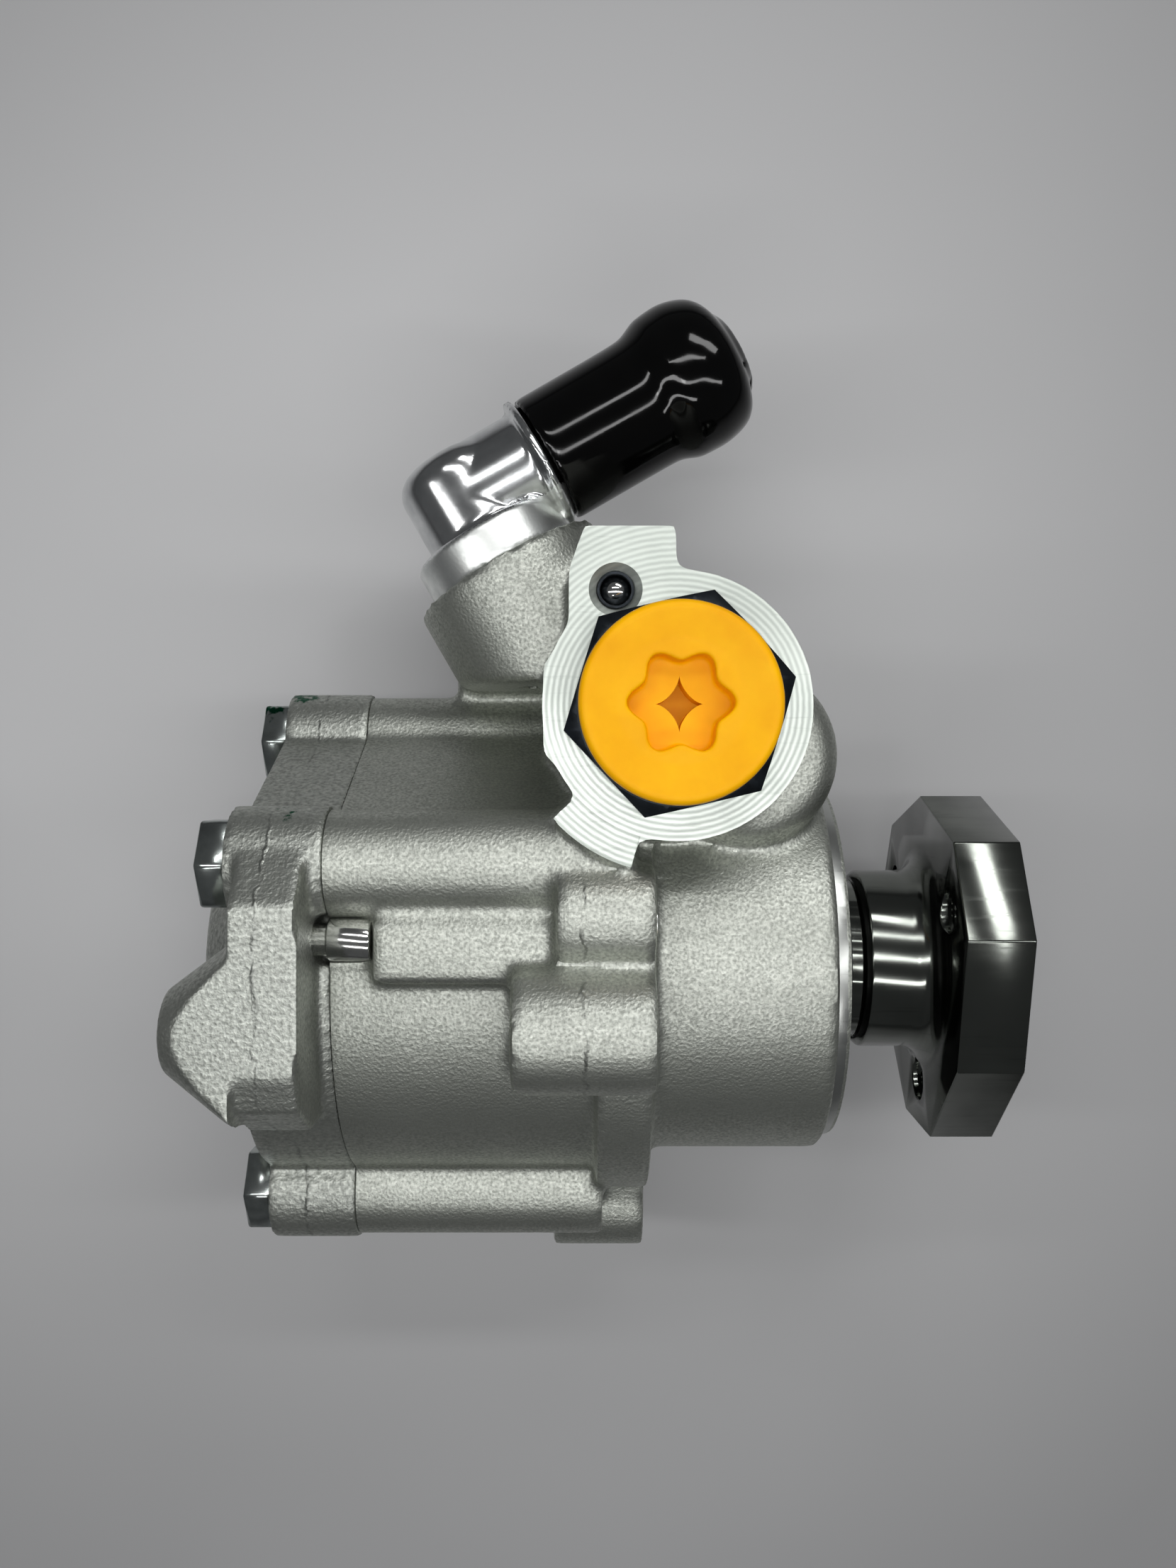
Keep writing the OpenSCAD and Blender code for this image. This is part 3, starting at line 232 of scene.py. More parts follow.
body_casting = die_cast("die_cast_aluminium", 0.45, 0.09, "#989b94", "#bfc2ba", 0.48, -64.6, 40, [])
cover_casting = die_cast("die_cast_aluminium_coarse", 0.6, 0.14, "#959892", "#bdc0b9", 0.48, -107.5, -60,
                         [((-111.5, 41.5, -4), 2.6), ((-105.5, 22.5, 34), 2.2)])
print("castings:", body_casting.name, cover_casting.name)

# %% [markdown]
# ## Machined faces and turned metal
# A cutter that sweeps round an axis leaves fine rings on a face. A Wave texture in its Rings form draws
# them: its bands repeat every 0.314 / scale metres, so the scale follows from the ring spacing in
# millimetres. The real spacing of 0.1 to 0.2 mm is drawn coarser, so that it shows in the render.

# %% Machined and turned metal
WAVE_PERIOD = 2 * math.pi / 20


def ringed(name, centre, axis, spacing, depth, dark, pale, roughness, scratch, share=0.5):
    """Metal cut in rings about an axis (X or Z) through a point; the rings have this share in its tone."""
    material, tree, shader, place = start_material(name, {"Metallic": 1.0})
    local = add(tree, "ShaderNodeMapping", None,
                {"Vector": place, "Location": [-c * MM for c in centre]}).outputs[0]
    rings = add(tree, "ShaderNodeTexWave", {"wave_type": "RINGS", "rings_direction": axis},
                {"Vector": local, "Scale": WAVE_PERIOD / (spacing * MM), "Distortion": 0.8,
                 "Detail": 2.0, "Detail Scale": 2.0}).outputs["Fac"]
    streaks = add(tree, "ShaderNodeMapping", None,
                  {"Vector": place, "Rotation": (0.4, 0.9, 0.6), "Scale": (1.0, 16.0, 1.0)}).outputs[0]
    marks = ramp(tree, noise(tree, streaks, 9, 2.0, 0.5), 0.62, 0.70, 0.0, scratch)
    smudge = noise(tree, place, 12, 3.0, 0.5)
    tone = maths(tree, "ADD", maths(tree, "MULTIPLY", rings, share), smudge)
    tone = maths(tree, "SUBTRACT", ramp(tree, tone, 0.3 + 0.2 * share, 0.7 + 0.8 * share), marks)
    colour = mixed(tree, ramp(tree, tone, 0.0, 1.0), linear(dark), linear(pale))
    gloss = ramp(tree, tone, 0.0, 1.0, roughness + 0.06, roughness - 0.04)
    wire(tree, shader, colour, gloss, rings, depth)
    return material


port_facing = ringed("machined_aluminium_port", (*PORT_AXIS, 0), "Z", 0.8, 0.006,
                     "#a9afa9", "#cdd3cc", 0.42, 0.2)
shaft_facing = ringed("machined_aluminium_shaft", (0, 0, 0), "X", 0.7, 0.008,
                      "#adafac", "#d6d8d4", 0.28, 0.2)
hub_steel = ringed("turned_steel", (0, 0, 0), "X", 0.5, 0.0005, "#5a5d59", "#747772", 0.13, 0.3, 0.05)
print("machined:", port_facing.name, shaft_facing.name, hub_steel.name)

# %% [markdown]
# ## Plain steels
# The screws, the elbow, the ball and everything inside are steel in different finishes. They share one
# build: a smudge noise that shifts colour and roughness, and a finer noise for the bump.


# %% Plain metals
def smudged(name, dark, pale, roughness, smudge, grain, depth, smears=()):
    """Metal with smudges and a fine grain of these sizes in millimetres."""
    material, tree, shader, place = start_material(name, {"Metallic": 1.0})
    tone = ramp(tree, noise(tree, place, smudge, 4.0), 0.35, 0.65)
    colour = mixed(tree, tone, linear(dark), linear(pale))
    for centre, size in smears:
        colour = mixed(tree, smear_mask(tree, place, centre, size), colour, linear(PAINT))
    gloss = ramp(tree, tone, 0.0, 1.0, roughness + 0.05, roughness - 0.04)
    wire(tree, shader, colour, gloss, noise(tree, place, grain, 2.0), depth)
    return material


zinc_plate = smudged("zinc_plated_steel", "#8f9593", "#b9bfbc", 0.20, 4.0, 0.5, 0.006,
                     [((-117.0, 39.5, -3), 2.4)])
plated_steel = smudged("bright_plated_steel", "#b9bbbc", "#e0e1e1", 0.16, 8.0, 0.8, 0.006)
brushed_steel = smudged("brushed_plated_steel", "#cfd2d0", "#eef0ed", 0.36, 5.0, 0.4, 0.012)
bright_steel = smudged("polished_steel", "#b9bab7", "#dcdcd9", 0.12, 4.0, 0.3, 0.002)
ground_steel = smudged("ground_tool_steel", "#8d8f90", "#b5b6b6", 0.30, 5.0, 0.3, 0.008)
spring_steel = smudged("oiled_spring_steel", "#4f5052", "#7b7c7d", 0.35, 4.0, 0.3, 0.008)
bronze = smudged("sintered_bronze", "#8a6a3c", "#b08d55", 0.45, 2.0, 0.2, 0.02)
print("plain metals: 7")

# %% [markdown]
# ## Black steel, rubber, vinyl and polyethylene
# The union is phosphated, which leaves a blue-black sheen. The seals are nitrile rubber, the cap is dipped
# vinyl with a wet gloss, and the plug is moulded polyethylene, which lets a little light in.


# %% Coloured and black finishes
def coated(name, dark, pale, constants, cloud_size, roughness, grain, depth):
    """A finish that isn't bare metal, with clouds and a grain of these sizes in millimetres."""
    material, tree, shader, place = start_material(name, constants)
    tone = ramp(tree, noise(tree, place, cloud_size, 4.0), 0.3, 0.7)
    colour = mixed(tree, tone, linear(dark), linear(pale))
    gloss = ramp(tree, tone, 0.0, 1.0, roughness + 0.04, roughness - 0.04)
    wire(tree, shader, colour, gloss, noise(tree, place, grain), depth)
    return material


black_steel = coated("black_phosphated_steel", "#15191d", "#2a3036", {"Metallic": 0.7},
                     3.0, 0.36, 0.4, 0.012)
rubber = coated("nitrile_rubber", "#0e0f10", "#1b1c1d", {}, 5.0, 0.45, 0.4, 0.01)
vinyl = coated("dipped_vinyl", "#020202", "#050505", {"Specular IOR Level": 0.25}, 9.0, 0.08, 5.0, 0.01)
polyethylene = coated("moulded_polyethylene", "#f0a800", "#fab800",
                      {"Specular IOR Level": 0.15, "Subsurface Weight": 0.1,
                       "Subsurface Radius": (0.002, 0.0008, 0.0001)}, 8.0, 0.45, 1.5, 0.006)
print("other finishes: 4")

# %% [markdown]
# ## Mesh helpers
# A CAD node's mesh is loose triangles, so a copy is merged before it is worked on. `settle` evaluates the
# modifiers into a plain mesh. `turned` and `prism` make closed solids that serve as cutters for bores and
# faces: the faces they leave take the cutter's material, so a machined face is cut and finished at once.


# %% Mesh helpers
def new_piece(name, shape):
    """An object with a finished bmesh as its mesh."""
    mesh = bpy.data.meshes.new(name)
    shape.to_mesh(mesh)
    shape.free()
    piece = bpy.data.objects.new(name, mesh)
    scene.collection.objects.link(piece)
    return piece


def merged_copy(name):
    """A copy of a CAD node with its triangles joined, as a new object."""
    shape = bmesh.new()
    shape.from_mesh(nodes[name].data)
    bmesh.ops.remove_doubles(shape, verts=shape.verts, dist=0.001 * MM)
    return new_piece(name + "_dressed", shape)


def settle(piece):
    """Replaces a piece's mesh by what its modifiers make of it, and removes them."""
    depsgraph = bpy.context.evaluated_depsgraph_get()
    mesh = bpy.data.meshes.new_from_object(piece.evaluated_get(depsgraph), depsgraph=depsgraph)
    piece.modifiers.clear()
    piece.data = mesh


def turned(profile, origin, axis, material, segments=96):
    """A closed solid turned about an axis; profile holds (distance along it, radius) in millimetres."""
    shape = bmesh.new()
    rings = []
    is_ring = profile[0] == profile[-1]
    for along, radius in profile[:-1] if is_ring else profile:
        count = segments if radius else 1
        spots = [2 * math.pi * step / segments for step in range(count)]
        rings.append([shape.verts.new((radius * math.cos(a), radius * math.sin(a), along)) for a in spots])
    if is_ring:
        rings.append(rings[0])
    for low, high in zip(rings, rings[1:]):
        for step in range(segments):
            ahead = step + 1
            corners = [low[step % len(low)], low[ahead % len(low)],
                       high[ahead % len(high)], high[step % len(high)]]
            shape.faces.new(list(dict.fromkeys(corners)))
    bmesh.ops.recalc_face_normals(shape, faces=shape.faces)
    turn = Vector(axis).to_track_quat("Z", "Y").to_matrix().to_4x4()
    shape.transform(Matrix.Scale(MM, 4) @ Matrix.Translation(origin) @ turn)
    cutter = new_piece("cutter", shape)
    cutter.data.materials.append(material)
    return cutter


def prism(outline, low, high, material, along_x=False):
    """A closed prism between two heights on an outline in XY, or between two stations on one in YZ."""
    shape = bmesh.new()
    layers = []
    for level in (low, high):
        spots = [(level, *spot) if along_x else (*spot, level) for spot in outline]
        layers.append([shape.verts.new(Vector(spot) * MM) for spot in spots])
    for layer in layers:
        shape.faces.new(layer)
    for here in range(len(outline)):
        ahead = (here + 1) % len(outline)
        shape.faces.new([layers[0][here], layers[0][ahead], layers[1][ahead], layers[1][here]])
    bmesh.ops.recalc_face_normals(shape, faces=shape.faces)
    cutter = new_piece("cutter", shape)
    cutter.data.materials.append(material)
    return cutter


def cut(piece, cutters):
    """Cuts each cutter out of a piece; the new faces take the cutter's material."""
    for cutter in cutters:
        step = piece.modifiers.new("cut", "BOOLEAN")
        step.operation = "DIFFERENCE"
        step.solver = "EXACT"
        step.material_mode = "TRANSFER"
        step.object = cutter
        settle(piece)
        bpy.data.objects.remove(cutter)


def triangles(piece):
    """How many triangles a piece's mesh has."""
    return sum(len(face.vertices) - 2 for face in piece.data.polygons)


def show(piece, body, node=None, sharp=35):
    """Shades a piece smooth up to an angle and puts it on a body, in place of a CAD node if one is given."""
    piece.data.shade_smooth()
    piece.data.set_sharp_from_angle(angle=math.radians(sharp))
    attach(piece, body)
    if node:
        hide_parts(node)
    print(piece.name, triangles(piece), "triangles")


# %% [markdown]
# ## The cast skin
# On a casting every corner and every root has a radius, because the die can't be sharp and the metal
# wouldn't fill it. Filleting a few hundred edges by hand would take long. A voxel remesh of the solid with
# a few smoothing steps rounds them all at once, as the die does. What is machined afterwards stays sharp:
# the faces get some stock first, and then the cutters take it off again. Pads are closed prisms that join
# the copy before the remesh, so that they run into the casting with the same radii.


# %% Cast skin helper
def cast_skin(name, voxel, rounds, material, stock=(), pads=()):
    """A node's solid with rounded edges; stock lists (axis, place, push) of machined planes."""
    piece = merged_copy(name)
    for vertex in piece.data.vertices:
        for axis, place, push in stock:
            if abs(vertex.co[axis] - place * MM) < 0.01 * MM:
                vertex.co[axis] += push * MM
    shape = bmesh.new()
    shape.from_mesh(piece.data)
    for pad in pads:
        shape.from_mesh(pad.data)
        bpy.data.objects.remove(pad)
    shape.to_mesh(piece.data)
    shape.free()
    remesh = piece.modifiers.new("voxels", "REMESH")
    remesh.mode = "VOXEL"
    remesh.voxel_size = voxel * MM
    smooth = piece.modifiers.new("rounding", "SMOOTH")
    smooth.factor = 0.5
    smooth.iterations = rounds
    settle(piece)
    piece.data.materials.clear()
    piece.data.materials.append(material)
    return piece


# %% [markdown]
# ## Housing
# The housing carries everything. Its port face, spot face, nose spigot, lug faces and bores are machined,
# and the cutters below use the same stations and radii as the solid.

# %% Housing
# Room that a cutter reaches past a face, and stock that it takes off
CLEAR = 4
STOCK = 1.5
LUG_STOCK = 0.7
ALONG = (1, 0, 0)
UP = (0, 0, 1)
TAB = (-57.5, 57)
TAB_R = 12
# Reach past the port's ring, so that no unfaced edge is left
RING_OVER = 1.4
# Cutters wider than the casting at the joint, the spigot's face and round the spigot
JOINT_CUT_R = 60
SPIGOT_CUT_R = 40
NOSE_CUT_R = 34
SEAL_SEAT_DEPTH = 30
SHAFT_BORE_R = 11
SHAFT_BORE_X = -45
SHAFT_BORE_LEN = 32
PAD_INTO = 4
SLEEVE_FIT = 0.02
SLEEVE_DEPTH = 7
SINK_DEPTH = 0.8
SINK_W = 1.1


def plug_of(radius, depth, origin, axis, material):
    """A plain round cutter that starts at a point and goes a signed depth along an axis."""
    return turned([(0, 0), (0, radius), (depth, radius), (depth, 0)], origin, axis, material)


def on_arc(radius, degrees):
    """A point at an angle about the port's axis."""
    angle = math.radians(degrees)
    return (PORT_AXIS[X] + radius * math.cos(angle), PORT_AXIS[Y] + radius * math.sin(angle))


SPOT_PAD_TOP = 39.2
PAD_FOOT = 20
spot_angles = range(222, 255, 4)
crescent = [on_arc(SPOT_R, a) for a in spot_angles]
crescent += [on_arc(PORT_R, a) for a in reversed(spot_angles)]
spot_pad = [on_arc(SPOT_R, a) for a in spot_angles]
spot_pad += [on_arc(PORT_R - PAD_INTO, a) for a in reversed(spot_angles)]
# Flat-topped band behind the dowel, with chamfered edges, as (y, z)
BAND_NEAR = 0.9
BAND_FAR = 10.1
BAND_TOP = 37
BAND_CHAMFER = 1
BAND_FROM = JOINT_X + 6.5
BAND_TO = FACE_X - 3
shoulder = BAND_TOP - BAND_CHAMFER
dowel_band = [(BAND_NEAR, PAD_FOOT), (BAND_NEAR, shoulder), (BAND_NEAR + BAND_CHAMFER, BAND_TOP),
              (BAND_FAR - BAND_CHAMFER, BAND_TOP), (BAND_FAR, shoulder), (BAND_FAR, PAD_FOOT)]
pads = [prism(spot_pad, PAD_FOOT, SPOT_PAD_TOP + STOCK, body_casting),
        prism(dowel_band, BAND_FROM, BAND_TO, body_casting, along_x=True)]
housing = cast_skin("housing", 0.85, 5, body_casting,
                    [(Z, PORT_TOP, STOCK), (X, JOINT_X, -STOCK), (X, SPIGOT_X, STOCK)], pads)
bore = (SPIGOT_X + CLEAR, 0, 0)
cutters = [
    plug_of(PORT_R + RING_OVER, CLEAR, (*PORT_AXIS, PORT_TOP), UP, port_facing),
    plug_of(TAB_R, CLEAR, (*TAB, PORT_TOP), UP, port_facing),
    prism(crescent, SPOT_PAD_TOP, PORT_TOP + CLEAR, port_facing),
    turned([(0, SPIGOT_R), (0, NOSE_CUT_R), (CLEAR, NOSE_CUT_R), (CLEAR, SPIGOT_R), (0, SPIGOT_R)],
           (NOSE_X, 0, 0), ALONG, shaft_facing),
    plug_of(JOINT_CUT_R, -CLEAR, (JOINT_X, 0, 0), ALONG, shaft_facing),
    plug_of(SPIGOT_CUT_R, CLEAR, (SPIGOT_X, 0, 0), ALONG, shaft_facing),
    plug_of(SEAL_SEAT_R, -SEAL_SEAT_DEPTH, bore, ALONG, shaft_facing),
    plug_of(SHAFT_BORE_R, -SHAFT_BORE_LEN, (SHAFT_BORE_X, 0, 0), ALONG, shaft_facing),
    plug_of(CAVITY_R, JOINT_X - CLEAR - WALL_X, (WALL_X, 0, 0), ALONG, shaft_facing),
    turned([(-SLEEVE_DEPTH, 0), (-SLEEVE_DEPTH, SLEEVE_R + SLEEVE_FIT), (-SINK_DEPTH, SLEEVE_R + SLEEVE_FIT),
            (0, SLEEVE_R + SINK_W), (CLEAR, SLEEVE_R + SINK_W), (CLEAR, 0)],
           (*EXPANDER, PORT_TOP), UP, port_facing),
]
for y, z, face_r, hole_r, depth in LUGS:
    steps = [(-depth, 0), (-depth, hole_r), (0, hole_r), (0, face_r), (LUG_STOCK, face_r), (LUG_STOCK, 0)]
    cutters.append(turned(steps, (FACE_X, y, z), ALONG, shaft_facing, 48))
cut(housing, cutters)
show(housing, "pump_housing", "housing")

# %% [markdown]
# ## Rear cover
# The cover comes from another die with a rougher surface. A pad widens its ear, and the seats of its
# screws are machined.

# %% Rear cover
# Outline of the ear as (y, z), with its sides and its rounded corners
EAR = [(22, PAD_FOOT), (22, 37), (12.5, 45), (-10, 45), (-15, 42.5), (-19.5, 34), (-19.5, PAD_FOOT)]
EAR_FROM = -111.3
EAR_TO = -102.2
SEAT_CUT_R = 6.9
ear_pad = prism(EAR, EAR_FROM, EAR_TO, cover_casting, along_x=True)
cover = cast_skin("rear_cover", 0.6, 5, cover_casting, (), [ear_pad])
seats = [(SCREW_CIRCLE * math.cos(math.radians(a)), SCREW_CIRCLE * math.sin(math.radians(a)))
         for a in SCREW_ANGLES]
seat_steps = [(0, 0), (0, SEAT_CUT_R), (-CLEAR, SEAT_CUT_R), (-CLEAR, 0)]
cut(cover, [turned(seat_steps, (SEAT_X, y, z), ALONG, shaft_facing, 48) for y, z in seats])
show(cover, "pump_housing", "rear_cover")

# %% [markdown]
# ## Elbow and cap
# The elbow is forged and then turned at its collar, so its corner is soft and its collar keeps a brushed
# band. The cap is dipped: vinyl runs off the form and leaves an uneven bulb near the end, which a smooth
# push outwards gives.

# %% Elbow and cap
elbow = cast_skin("inlet_elbow", 0.4, 5, plated_steel)
elbow.data.materials.append(brushed_steel)
for face in elbow.data.polygons:
    if 0 < (face.center / MM - INLET_FACE).dot(INLET_WAY) < COLLAR_T:
        face.material_index = 1
show(elbow, "pump_housing", "inlet_elbow")

# The bulb's place past the elbow's corner, its half length, its share of the radius and its three waves
BULB_AT = 41
BULB_LEN = 6
BULB_PUSH = 0.05
BULB_WAVE = 0.4
BULB_TURN = 0.6
# Where the end starts to round off, over which length, and by which share of the radius
END_FROM = 40
END_LEN = 9
END_PULL = 0.22
cap = cast_skin("inlet_cap", 0.5, 22, vinyl)
for vertex in cap.data.vertices:
    arm = vertex.co / MM - CORNER
    reach = arm.dot(SPIGOT_WAY)
    outward = arm - reach * SPIGOT_WAY
    swell = math.exp(-((reach - BULB_AT) / BULB_LEN) ** 2)
    around = math.atan2(outward.z, outward.dot(INLET_WAY))
    uneven = 1 + BULB_WAVE * math.sin(3 * around + BULB_TURN)
    rounding = max(0.0, reach - END_FROM) / END_LEN
    vertex.co += outward * ((BULB_PUSH * swell * uneven - END_PULL * rounding ** 2) * MM)
show(cap, "pump_housing", "inlet_cap", 80)

# %% [markdown]
# ## Shipping plug
# The plug is moulded, so its edges are soft. Its recess has six lobes and a shallow floor, and a pocket
# with four points goes deeper in the middle.

# %% Shipping plug
# The filler that makes the recess shallow is a little wider than the recess, so that the two fuse
RECESS_R = 6.2
FILLER_OVER = 0.4
FILLER_R = RECESS_R + FILLER_OVER
FILLER_FOOT = 35.2
LOBE = 0.8
STAR_R = 3.7
STAR_FLATTEN = 0.85
RECESS_FLOOR = 42.8
POCKET_FLOOR = 38
TURN = [math.radians(step * 5) for step in range(72)]


def beside_port(points):
    """Points given from the port's axis, in the CAD's frame."""
    return [(PORT_AXIS[X] + x, PORT_AXIS[Y] + y) for x, y in points]


lobes = beside_port([((FILLER_R + LOBE * math.cos(6 * a)) * math.cos(a),
                      (FILLER_R + LOBE * math.cos(6 * a)) * math.sin(a)) for a in TURN])
star = beside_port([(STAR_FLATTEN * STAR_R * math.cos(a) ** 3, STAR_R * math.sin(a) ** 3) for a in TURN])
filler = prism(lobes, FILLER_FOOT, RECESS_FLOOR, polyethylene)
plug = cast_skin("outlet_plug", 0.3, 3, polyethylene, (), [filler])
cut(plug, [prism(star, POCKET_FLOOR, RECESS_FLOOR + CLEAR, polyethylene)])
show(plug, "pump_housing", "outlet_plug", 50)

# %% [markdown]
# ## Turned, moulded and pressed pieces
# These pieces have crisp forms, so their solids stay as they are. A narrow bevel on every sharp edge
# catches the light the way a broken edge does.


# %% Bevelled pieces
def bevel(piece, width, segments=2):
    """Breaks a piece's sharp edges with a bevel of this width in millimetres."""
    step = piece.modifiers.new("edges", "BEVEL")
    step.width = width * MM
    step.segments = segments
    step.limit_method = "ANGLE"
    step.angle_limit = math.radians(32)
    step.harden_normals = True


def bevelled(name, width, material, body, slot):
    """A CAD node with its sharp edges broken."""
    piece = merged_copy(name)
    shape = bmesh.new()
    shape.from_mesh(piece.data)
    bmesh.ops.dissolve_limit(shape, angle_limit=math.radians(1), verts=shape.verts, edges=shape.edges)
    shape.to_mesh(piece.data)
    shape.free()
    bevel(piece, width)
    piece.data.shade_smooth()
    settle(piece)
    piece.data.materials.clear()
    piece.data.materials.append(material)
    show(piece, body, name, 40)


# Pieces as (node, bevel in millimetres, material, body, slot)
BEVELLED = [
    ("hub", 0.25, hub_steel, "shaft_line", "hub_steel"),
    ("outlet_union", 0.30, black_steel, "pump_housing", "black_steel"),
    ("shaft_seal", 0.20, rubber, "pump_housing", "rubber_seal"),
    ("locating_dowel", 0.25, bright_steel, "pump_housing", "bright_steel"),
    ("expander_sleeve", 0.08, black_steel, "pump_housing", "bright_steel"),
]
for settings in BEVELLED:
    bevelled(*settings)

# %% [markdown]
# ## What repeats: screws and threads
# Four equal screws hold the cover, and every tapped hole has the same thread. Each is a small Geometry
# Nodes tree that puts one form on a few points. The trees take their sizes as named inputs and end in
# Realize Instances and Set Material, and the result is stored as a plain mesh.


# %% Geometry Nodes helpers
def start_tree(name, inputs):
    """A geometry tree with named inputs: returns it with the outputs of its input node by name."""
    tree = bpy.data.node_groups.new(name, "GeometryNodeTree")
    tree.interface.new_socket("Geometry", in_out="INPUT", socket_type="NodeSocketGeometry")
    for label, kind in inputs:
        tree.interface.new_socket(label, in_out="INPUT", socket_type="NodeSocket" + kind)
    tree.interface.new_socket("Geometry", in_out="OUTPUT", socket_type="NodeSocketGeometry")
    return tree, add(tree, "NodeGroupInput").outputs


def end_tree(tree, points, form, metal):
    """Puts a form on points, turned so that its Z runs along X, makes it real and gives it its metal."""
    along = add(tree, "GeometryNodeTransform", None, {"Geometry": form, "Rotation": (0, math.pi / 2, 0)})
    spread = add(tree, "GeometryNodeInstanceOnPoints", None,
                 {"Points": points, "Instance": along.outputs[0]})
    real = add(tree, "GeometryNodeRealizeInstances", None, {0: spread.outputs[0]})
    finished = add(tree, "GeometryNodeSetMaterial", None, {"Geometry": real.outputs[0], "Material": metal})
    add(tree, "NodeGroupOutput", None, {0: finished.outputs[0]})


def grow(name, points, tree, values):
    """A piece that a geometry tree makes on points in millimetres."""
    mesh = bpy.data.meshes.new(name)
    mesh.from_pydata([Vector(point) * MM for point in points], [], [])
    piece = bpy.data.objects.new(name, mesh)
    scene.collection.objects.link(piece)
    step = piece.modifiers.new("grow", "NODES")
    step.node_group = tree
    for socket in tree.interface.items_tree:
        if socket.in_out == "INPUT" and socket.name in values:
            step[socket.identifier] = values[socket.name]
    return piece


# %% Screw tree
SCREW_FLATS = 12
SCREW_HEAD = 4.5
SCREW_SHANK_R = 3.38
SCREW_LEN = 33.1
screw_tree, given = start_tree("hexagon_screw", [("Flats", "Float"), ("Head", "Float"), ("Shank", "Float"),
                                                 ("Length", "Float"), ("Metal", "Material")])
corner_r = add(screw_tree, "ShaderNodeMath", {"operation": "DIVIDE"},
               {0: given["Flats"], 1: 2 * math.cos(math.pi / 6)}).outputs[0]
head = add(screw_tree, "GeometryNodeMeshCylinder", None,
           {"Vertices": 6, "Radius": corner_r, "Depth": given["Head"]}).outputs["Mesh"]
shank = add(screw_tree, "GeometryNodeMeshCylinder", None,
            {"Vertices": 32, "Radius": given["Shank"], "Depth": given["Length"]}).outputs["Mesh"]
screw = add(screw_tree, "GeometryNodeJoinGeometry")
for form, size, share in ((head, given["Head"], -0.5), (shank, given["Length"], 0.5)):
    shift = add(screw_tree, "ShaderNodeMath", {"operation": "MULTIPLY"}, {0: size, 1: share}).outputs[0]
    offset = add(screw_tree, "ShaderNodeCombineXYZ", None, {"Z": shift}).outputs[0]
    placed = add(screw_tree, "GeometryNodeTransform", None, {"Geometry": form, "Translation": offset})
    screw_tree.links.new(placed.outputs[0], screw.inputs[0])
end_tree(screw_tree, given["Geometry"], screw.outputs[0], given["Metal"])

screws = grow("cover_screws_dressed", [(SEAT_X, y, z) for y, z in seats], screw_tree,
              {"Flats": SCREW_FLATS * MM, "Head": SCREW_HEAD * MM, "Shank": SCREW_SHANK_R * MM,
               "Length": SCREW_LEN * MM, "Metal": zinc_plate})
bevel(screws, 0.5, 3)
settle(screws)
show(screws, "pump_housing", "cover_screws", 40)

# %% Thread tree
THREAD_PITCH = 1.25
THREAD_R = 3.42
THREAD_DEPTH = 0.45
thread_tree, given = start_tree("thread_crests", [("Turns", "Int"), ("Pitch", "Float"), ("Radius", "Float"),
                                                  ("Depth", "Float"), ("Metal", "Material")])
ring = add(thread_tree, "GeometryNodeCurvePrimitiveCircle", None,
           {"Resolution": 48, "Radius": given["Radius"]}).outputs[0]
crest = add(thread_tree, "GeometryNodeCurvePrimitiveCircle", None,
            {"Resolution": 4, "Radius": given["Depth"]}).outputs[0]
one_turn = add(thread_tree, "GeometryNodeCurveToMesh", None, {0: ring, 1: crest}).outputs[0]
back = add(thread_tree, "ShaderNodeMath", {"operation": "MULTIPLY"},
           {0: given["Pitch"], 1: -1.0}).outputs[0]
step_back = add(thread_tree, "ShaderNodeCombineXYZ", None, {"Z": back}).outputs[0]
row = add(thread_tree, "GeometryNodeMeshLine", None,
          {"Count": given["Turns"], "Offset": step_back}).outputs[0]
all_turns = add(thread_tree, "GeometryNodeInstanceOnPoints", None,
                {"Points": row, "Instance": one_turn}).outputs[0]
end_tree(thread_tree, given["Geometry"], all_turns, given["Metal"])

# Where the first crest of each thread lies behind its face; the bore for the long bolt has no thread
HUB_THREAD_X = -1.2
EAR_THREAD_X = -103.5
LUG_THREAD_X = FACE_X - 1.5
HUB_CIRCLE = 20
HUB_ANGLES = (62, 182, 302)
hub_holes = [(HUB_THREAD_X, HUB_CIRCLE * math.cos(math.radians(a)), HUB_CIRCLE * math.sin(math.radians(a)))
             for a in HUB_ANGLES]
cast_holes = [(EAR_THREAD_X, *EAR_HOLE)]
cast_holes += [(LUG_THREAD_X, y, z) for y, z, _, hole_r, _ in LUGS if hole_r == CORE_R]
THREADS = [("hub_threads", hub_holes, 7, hub_steel, "shaft_line", "hub_steel"),
           ("casting_threads", cast_holes, 8, shaft_facing, "pump_housing", "cast_aluminium")]
for name, holes, turns, metal, body, slot in THREADS:
    thread = grow(name, holes, thread_tree,
                  {"Turns": turns, "Pitch": THREAD_PITCH * MM, "Radius": THREAD_R * MM,
                   "Depth": THREAD_DEPTH * MM, "Metal": metal})
    settle(thread)
    show(thread, body)

# %% [markdown]
# ## Valve spring
# The spool pushes the valve spring together as it opens. A merged copy of the spring, with a mesh of its
# own, takes the place of its solid and takes the oiled spring steel.

# %% Valve spring
spring = merged_copy("valve_spring")
spring.data.materials.clear()
spring.data.materials.append(spring_steel)
show(spring, "pump_housing", "valve_spring", 60)
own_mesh(spring)

# %% [markdown]
# ## Pieces inside
# The cartridge, the bearing, the shaft and the valve keep their solids, which are true to size, and take
# the steel, bronze and rubber finishes.

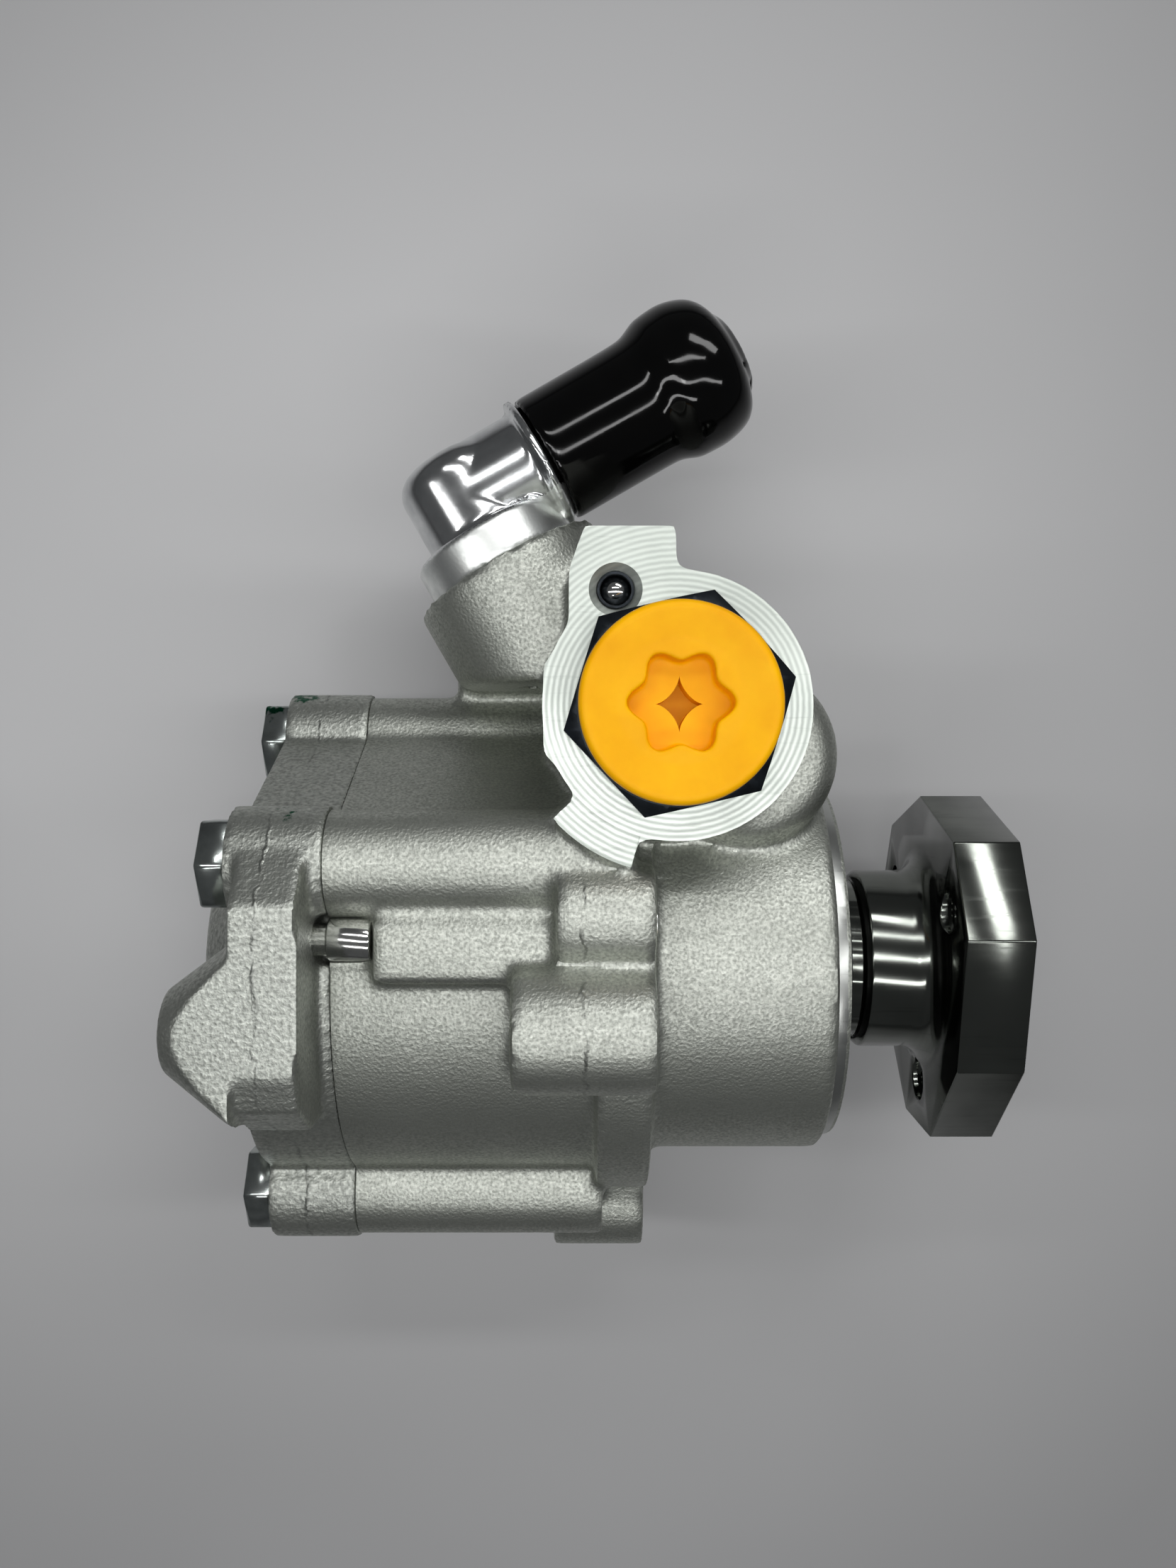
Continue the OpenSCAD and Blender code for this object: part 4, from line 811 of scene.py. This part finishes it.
# %% Finishes of the inner pieces
FINISH = {"ground_steel": ground_steel, "bright_steel": bright_steel, "spring_steel": spring_steel,
          "bronze": bronze, "rubber_seal": rubber, "cast_aluminium": body_casting, "zinc_plate": zinc_plate,
          "hub_steel": hub_steel, "black_steel": black_steel, "yellow_plastic": polyethylene,
          "plated_steel": plated_steel, "black_vinyl": vinyl}
for node in nodes.values():
    plain = node.data.materials[0].name
    node.data.materials[0] = FINISH[plain]
print("nodes finished:", len(nodes))

# %% [markdown]
# ## Floor, light and camera
# The pump lies on a pale grey table, whose colour carries a painted pool of light and painted shade towards
# its edges. A rectangular frame of lamps round the camera lights it from above, so that faces that look up
# are bright, sides fall off to dark and glossy pieces mirror the frame.

# %% Floor
FLOOR_GAP = 0.2
FLOOR_HALF = 2.0
# Painted light: the table's colour is paler in a painted pool of light about this point, and painted shade
# darkens it from the second distance on
PAINTED_POOL_AT = (-0.125, 0.06)
PAINTED_SHADE_FROM = 0.06
PAINTED_SHADE_TO = 0.24
floor_z = cad_box[0].z - FLOOR_GAP * MM
floor_mesh = bpy.data.meshes.new("floor")
corners = [(x * FLOOR_HALF, y * FLOOR_HALF, floor_z) for x, y in ((-1, -1), (1, -1), (1, 1), (-1, 1))]
floor_mesh.from_pydata(corners, [], [(0, 1, 2, 3)])
floor = bpy.data.objects.new("floor", floor_mesh)
scene.collection.objects.link(floor)
table_top, tree, shader, place = start_material("table_painted_light", {"Roughness": 0.6})
from_painted_pool = add(tree, "ShaderNodeVectorMath", {"operation": "DISTANCE"},
                  {0: place, 1: (*PAINTED_POOL_AT, floor_z)}).outputs["Value"]
# Painted light and shade in the table's colour: pale at the pool, darker towards the edges
shade = mixed(tree, ramp(tree, from_painted_pool, PAINTED_SHADE_FROM, PAINTED_SHADE_TO), linear("#c4c4c5"), linear("#9a9a9b"))
tree.links.new(shade, shader.inputs["Base Color"])
floor_mesh.materials.append(table_top)

# %% Lamps and world
WORLD_COLOUR = "#a8aaac"
WORLD_STRENGTH = 0.22
world = bpy.data.worlds.new("studio")
world.use_nodes = True
background = world.node_tree.nodes["Background"]
background.inputs["Color"].default_value = linear(WORLD_COLOUR)
background.inputs["Strength"].default_value = WORLD_STRENGTH
scene.world = world


def lamp(name, place, aim, width, depth, watts):
    """A soft area lamp; places are in millimetres."""
    light = bpy.data.lights.new(name, "AREA")
    light.shape = "RECTANGLE"
    light.size = width * MM
    light.size_y = depth * MM
    light.energy = watts
    holder = bpy.data.objects.new(name, light)
    holder.location = Vector(place) * MM
    holder.rotation_euler = (Vector(aim) - Vector(place)).to_track_quat("-Z", "Y").to_euler()
    scene.collection.objects.link(holder)


MIDDLE = (-60, 25, 0)
STRIP_W = 28
STRIP_Z = 350
FRAME_HALF_X = 150
FRAME_HALF_Y = 190
# Watts per millimetre of a strip's half length
STRIP_WATTS = 0.0019
for side in (-1, 1):
    across = (MIDDLE[X], MIDDLE[Y] + side * FRAME_HALF_Y, STRIP_Z)
    lamp("strip_across", across, MIDDLE, 2 * FRAME_HALF_X, STRIP_W, STRIP_WATTS * FRAME_HALF_X)
    along = (MIDDLE[X] + side * FRAME_HALF_X, MIDDLE[Y], STRIP_Z)
    lamp("strip_along", along, MIDDLE, STRIP_W, 2 * FRAME_HALF_Y, STRIP_WATTS * FRAME_HALF_Y)

# A low window beyond the far side, which the hub's upper flat and the elbow mirror
WINDOW_AT = (70, 320, 270)
WINDOW_W = 240
WINDOW_H = 60
WINDOW_WATTS = 0.40
lamp("window", WINDOW_AT, MIDDLE, WINDOW_W, WINDOW_H, WINDOW_WATTS)

# %% Camera
# Place in millimetres, looking straight down, and focal length on a sensor this wide
CAMERA_AT = (-64.2, 28.4, 215)
LENS = 30.1
SENSOR_W = 36.0
camera_data = bpy.data.cameras.new("camera")
camera_data.lens = LENS
camera_data.sensor_width = SENSOR_W
camera_data.clip_start = 0.005
camera = bpy.data.objects.new("camera", camera_data)
camera.location = Vector(CAMERA_AT) * MM
scene.collection.objects.link(camera)
scene.camera = camera
scene.view_settings.view_transform = "Standard"
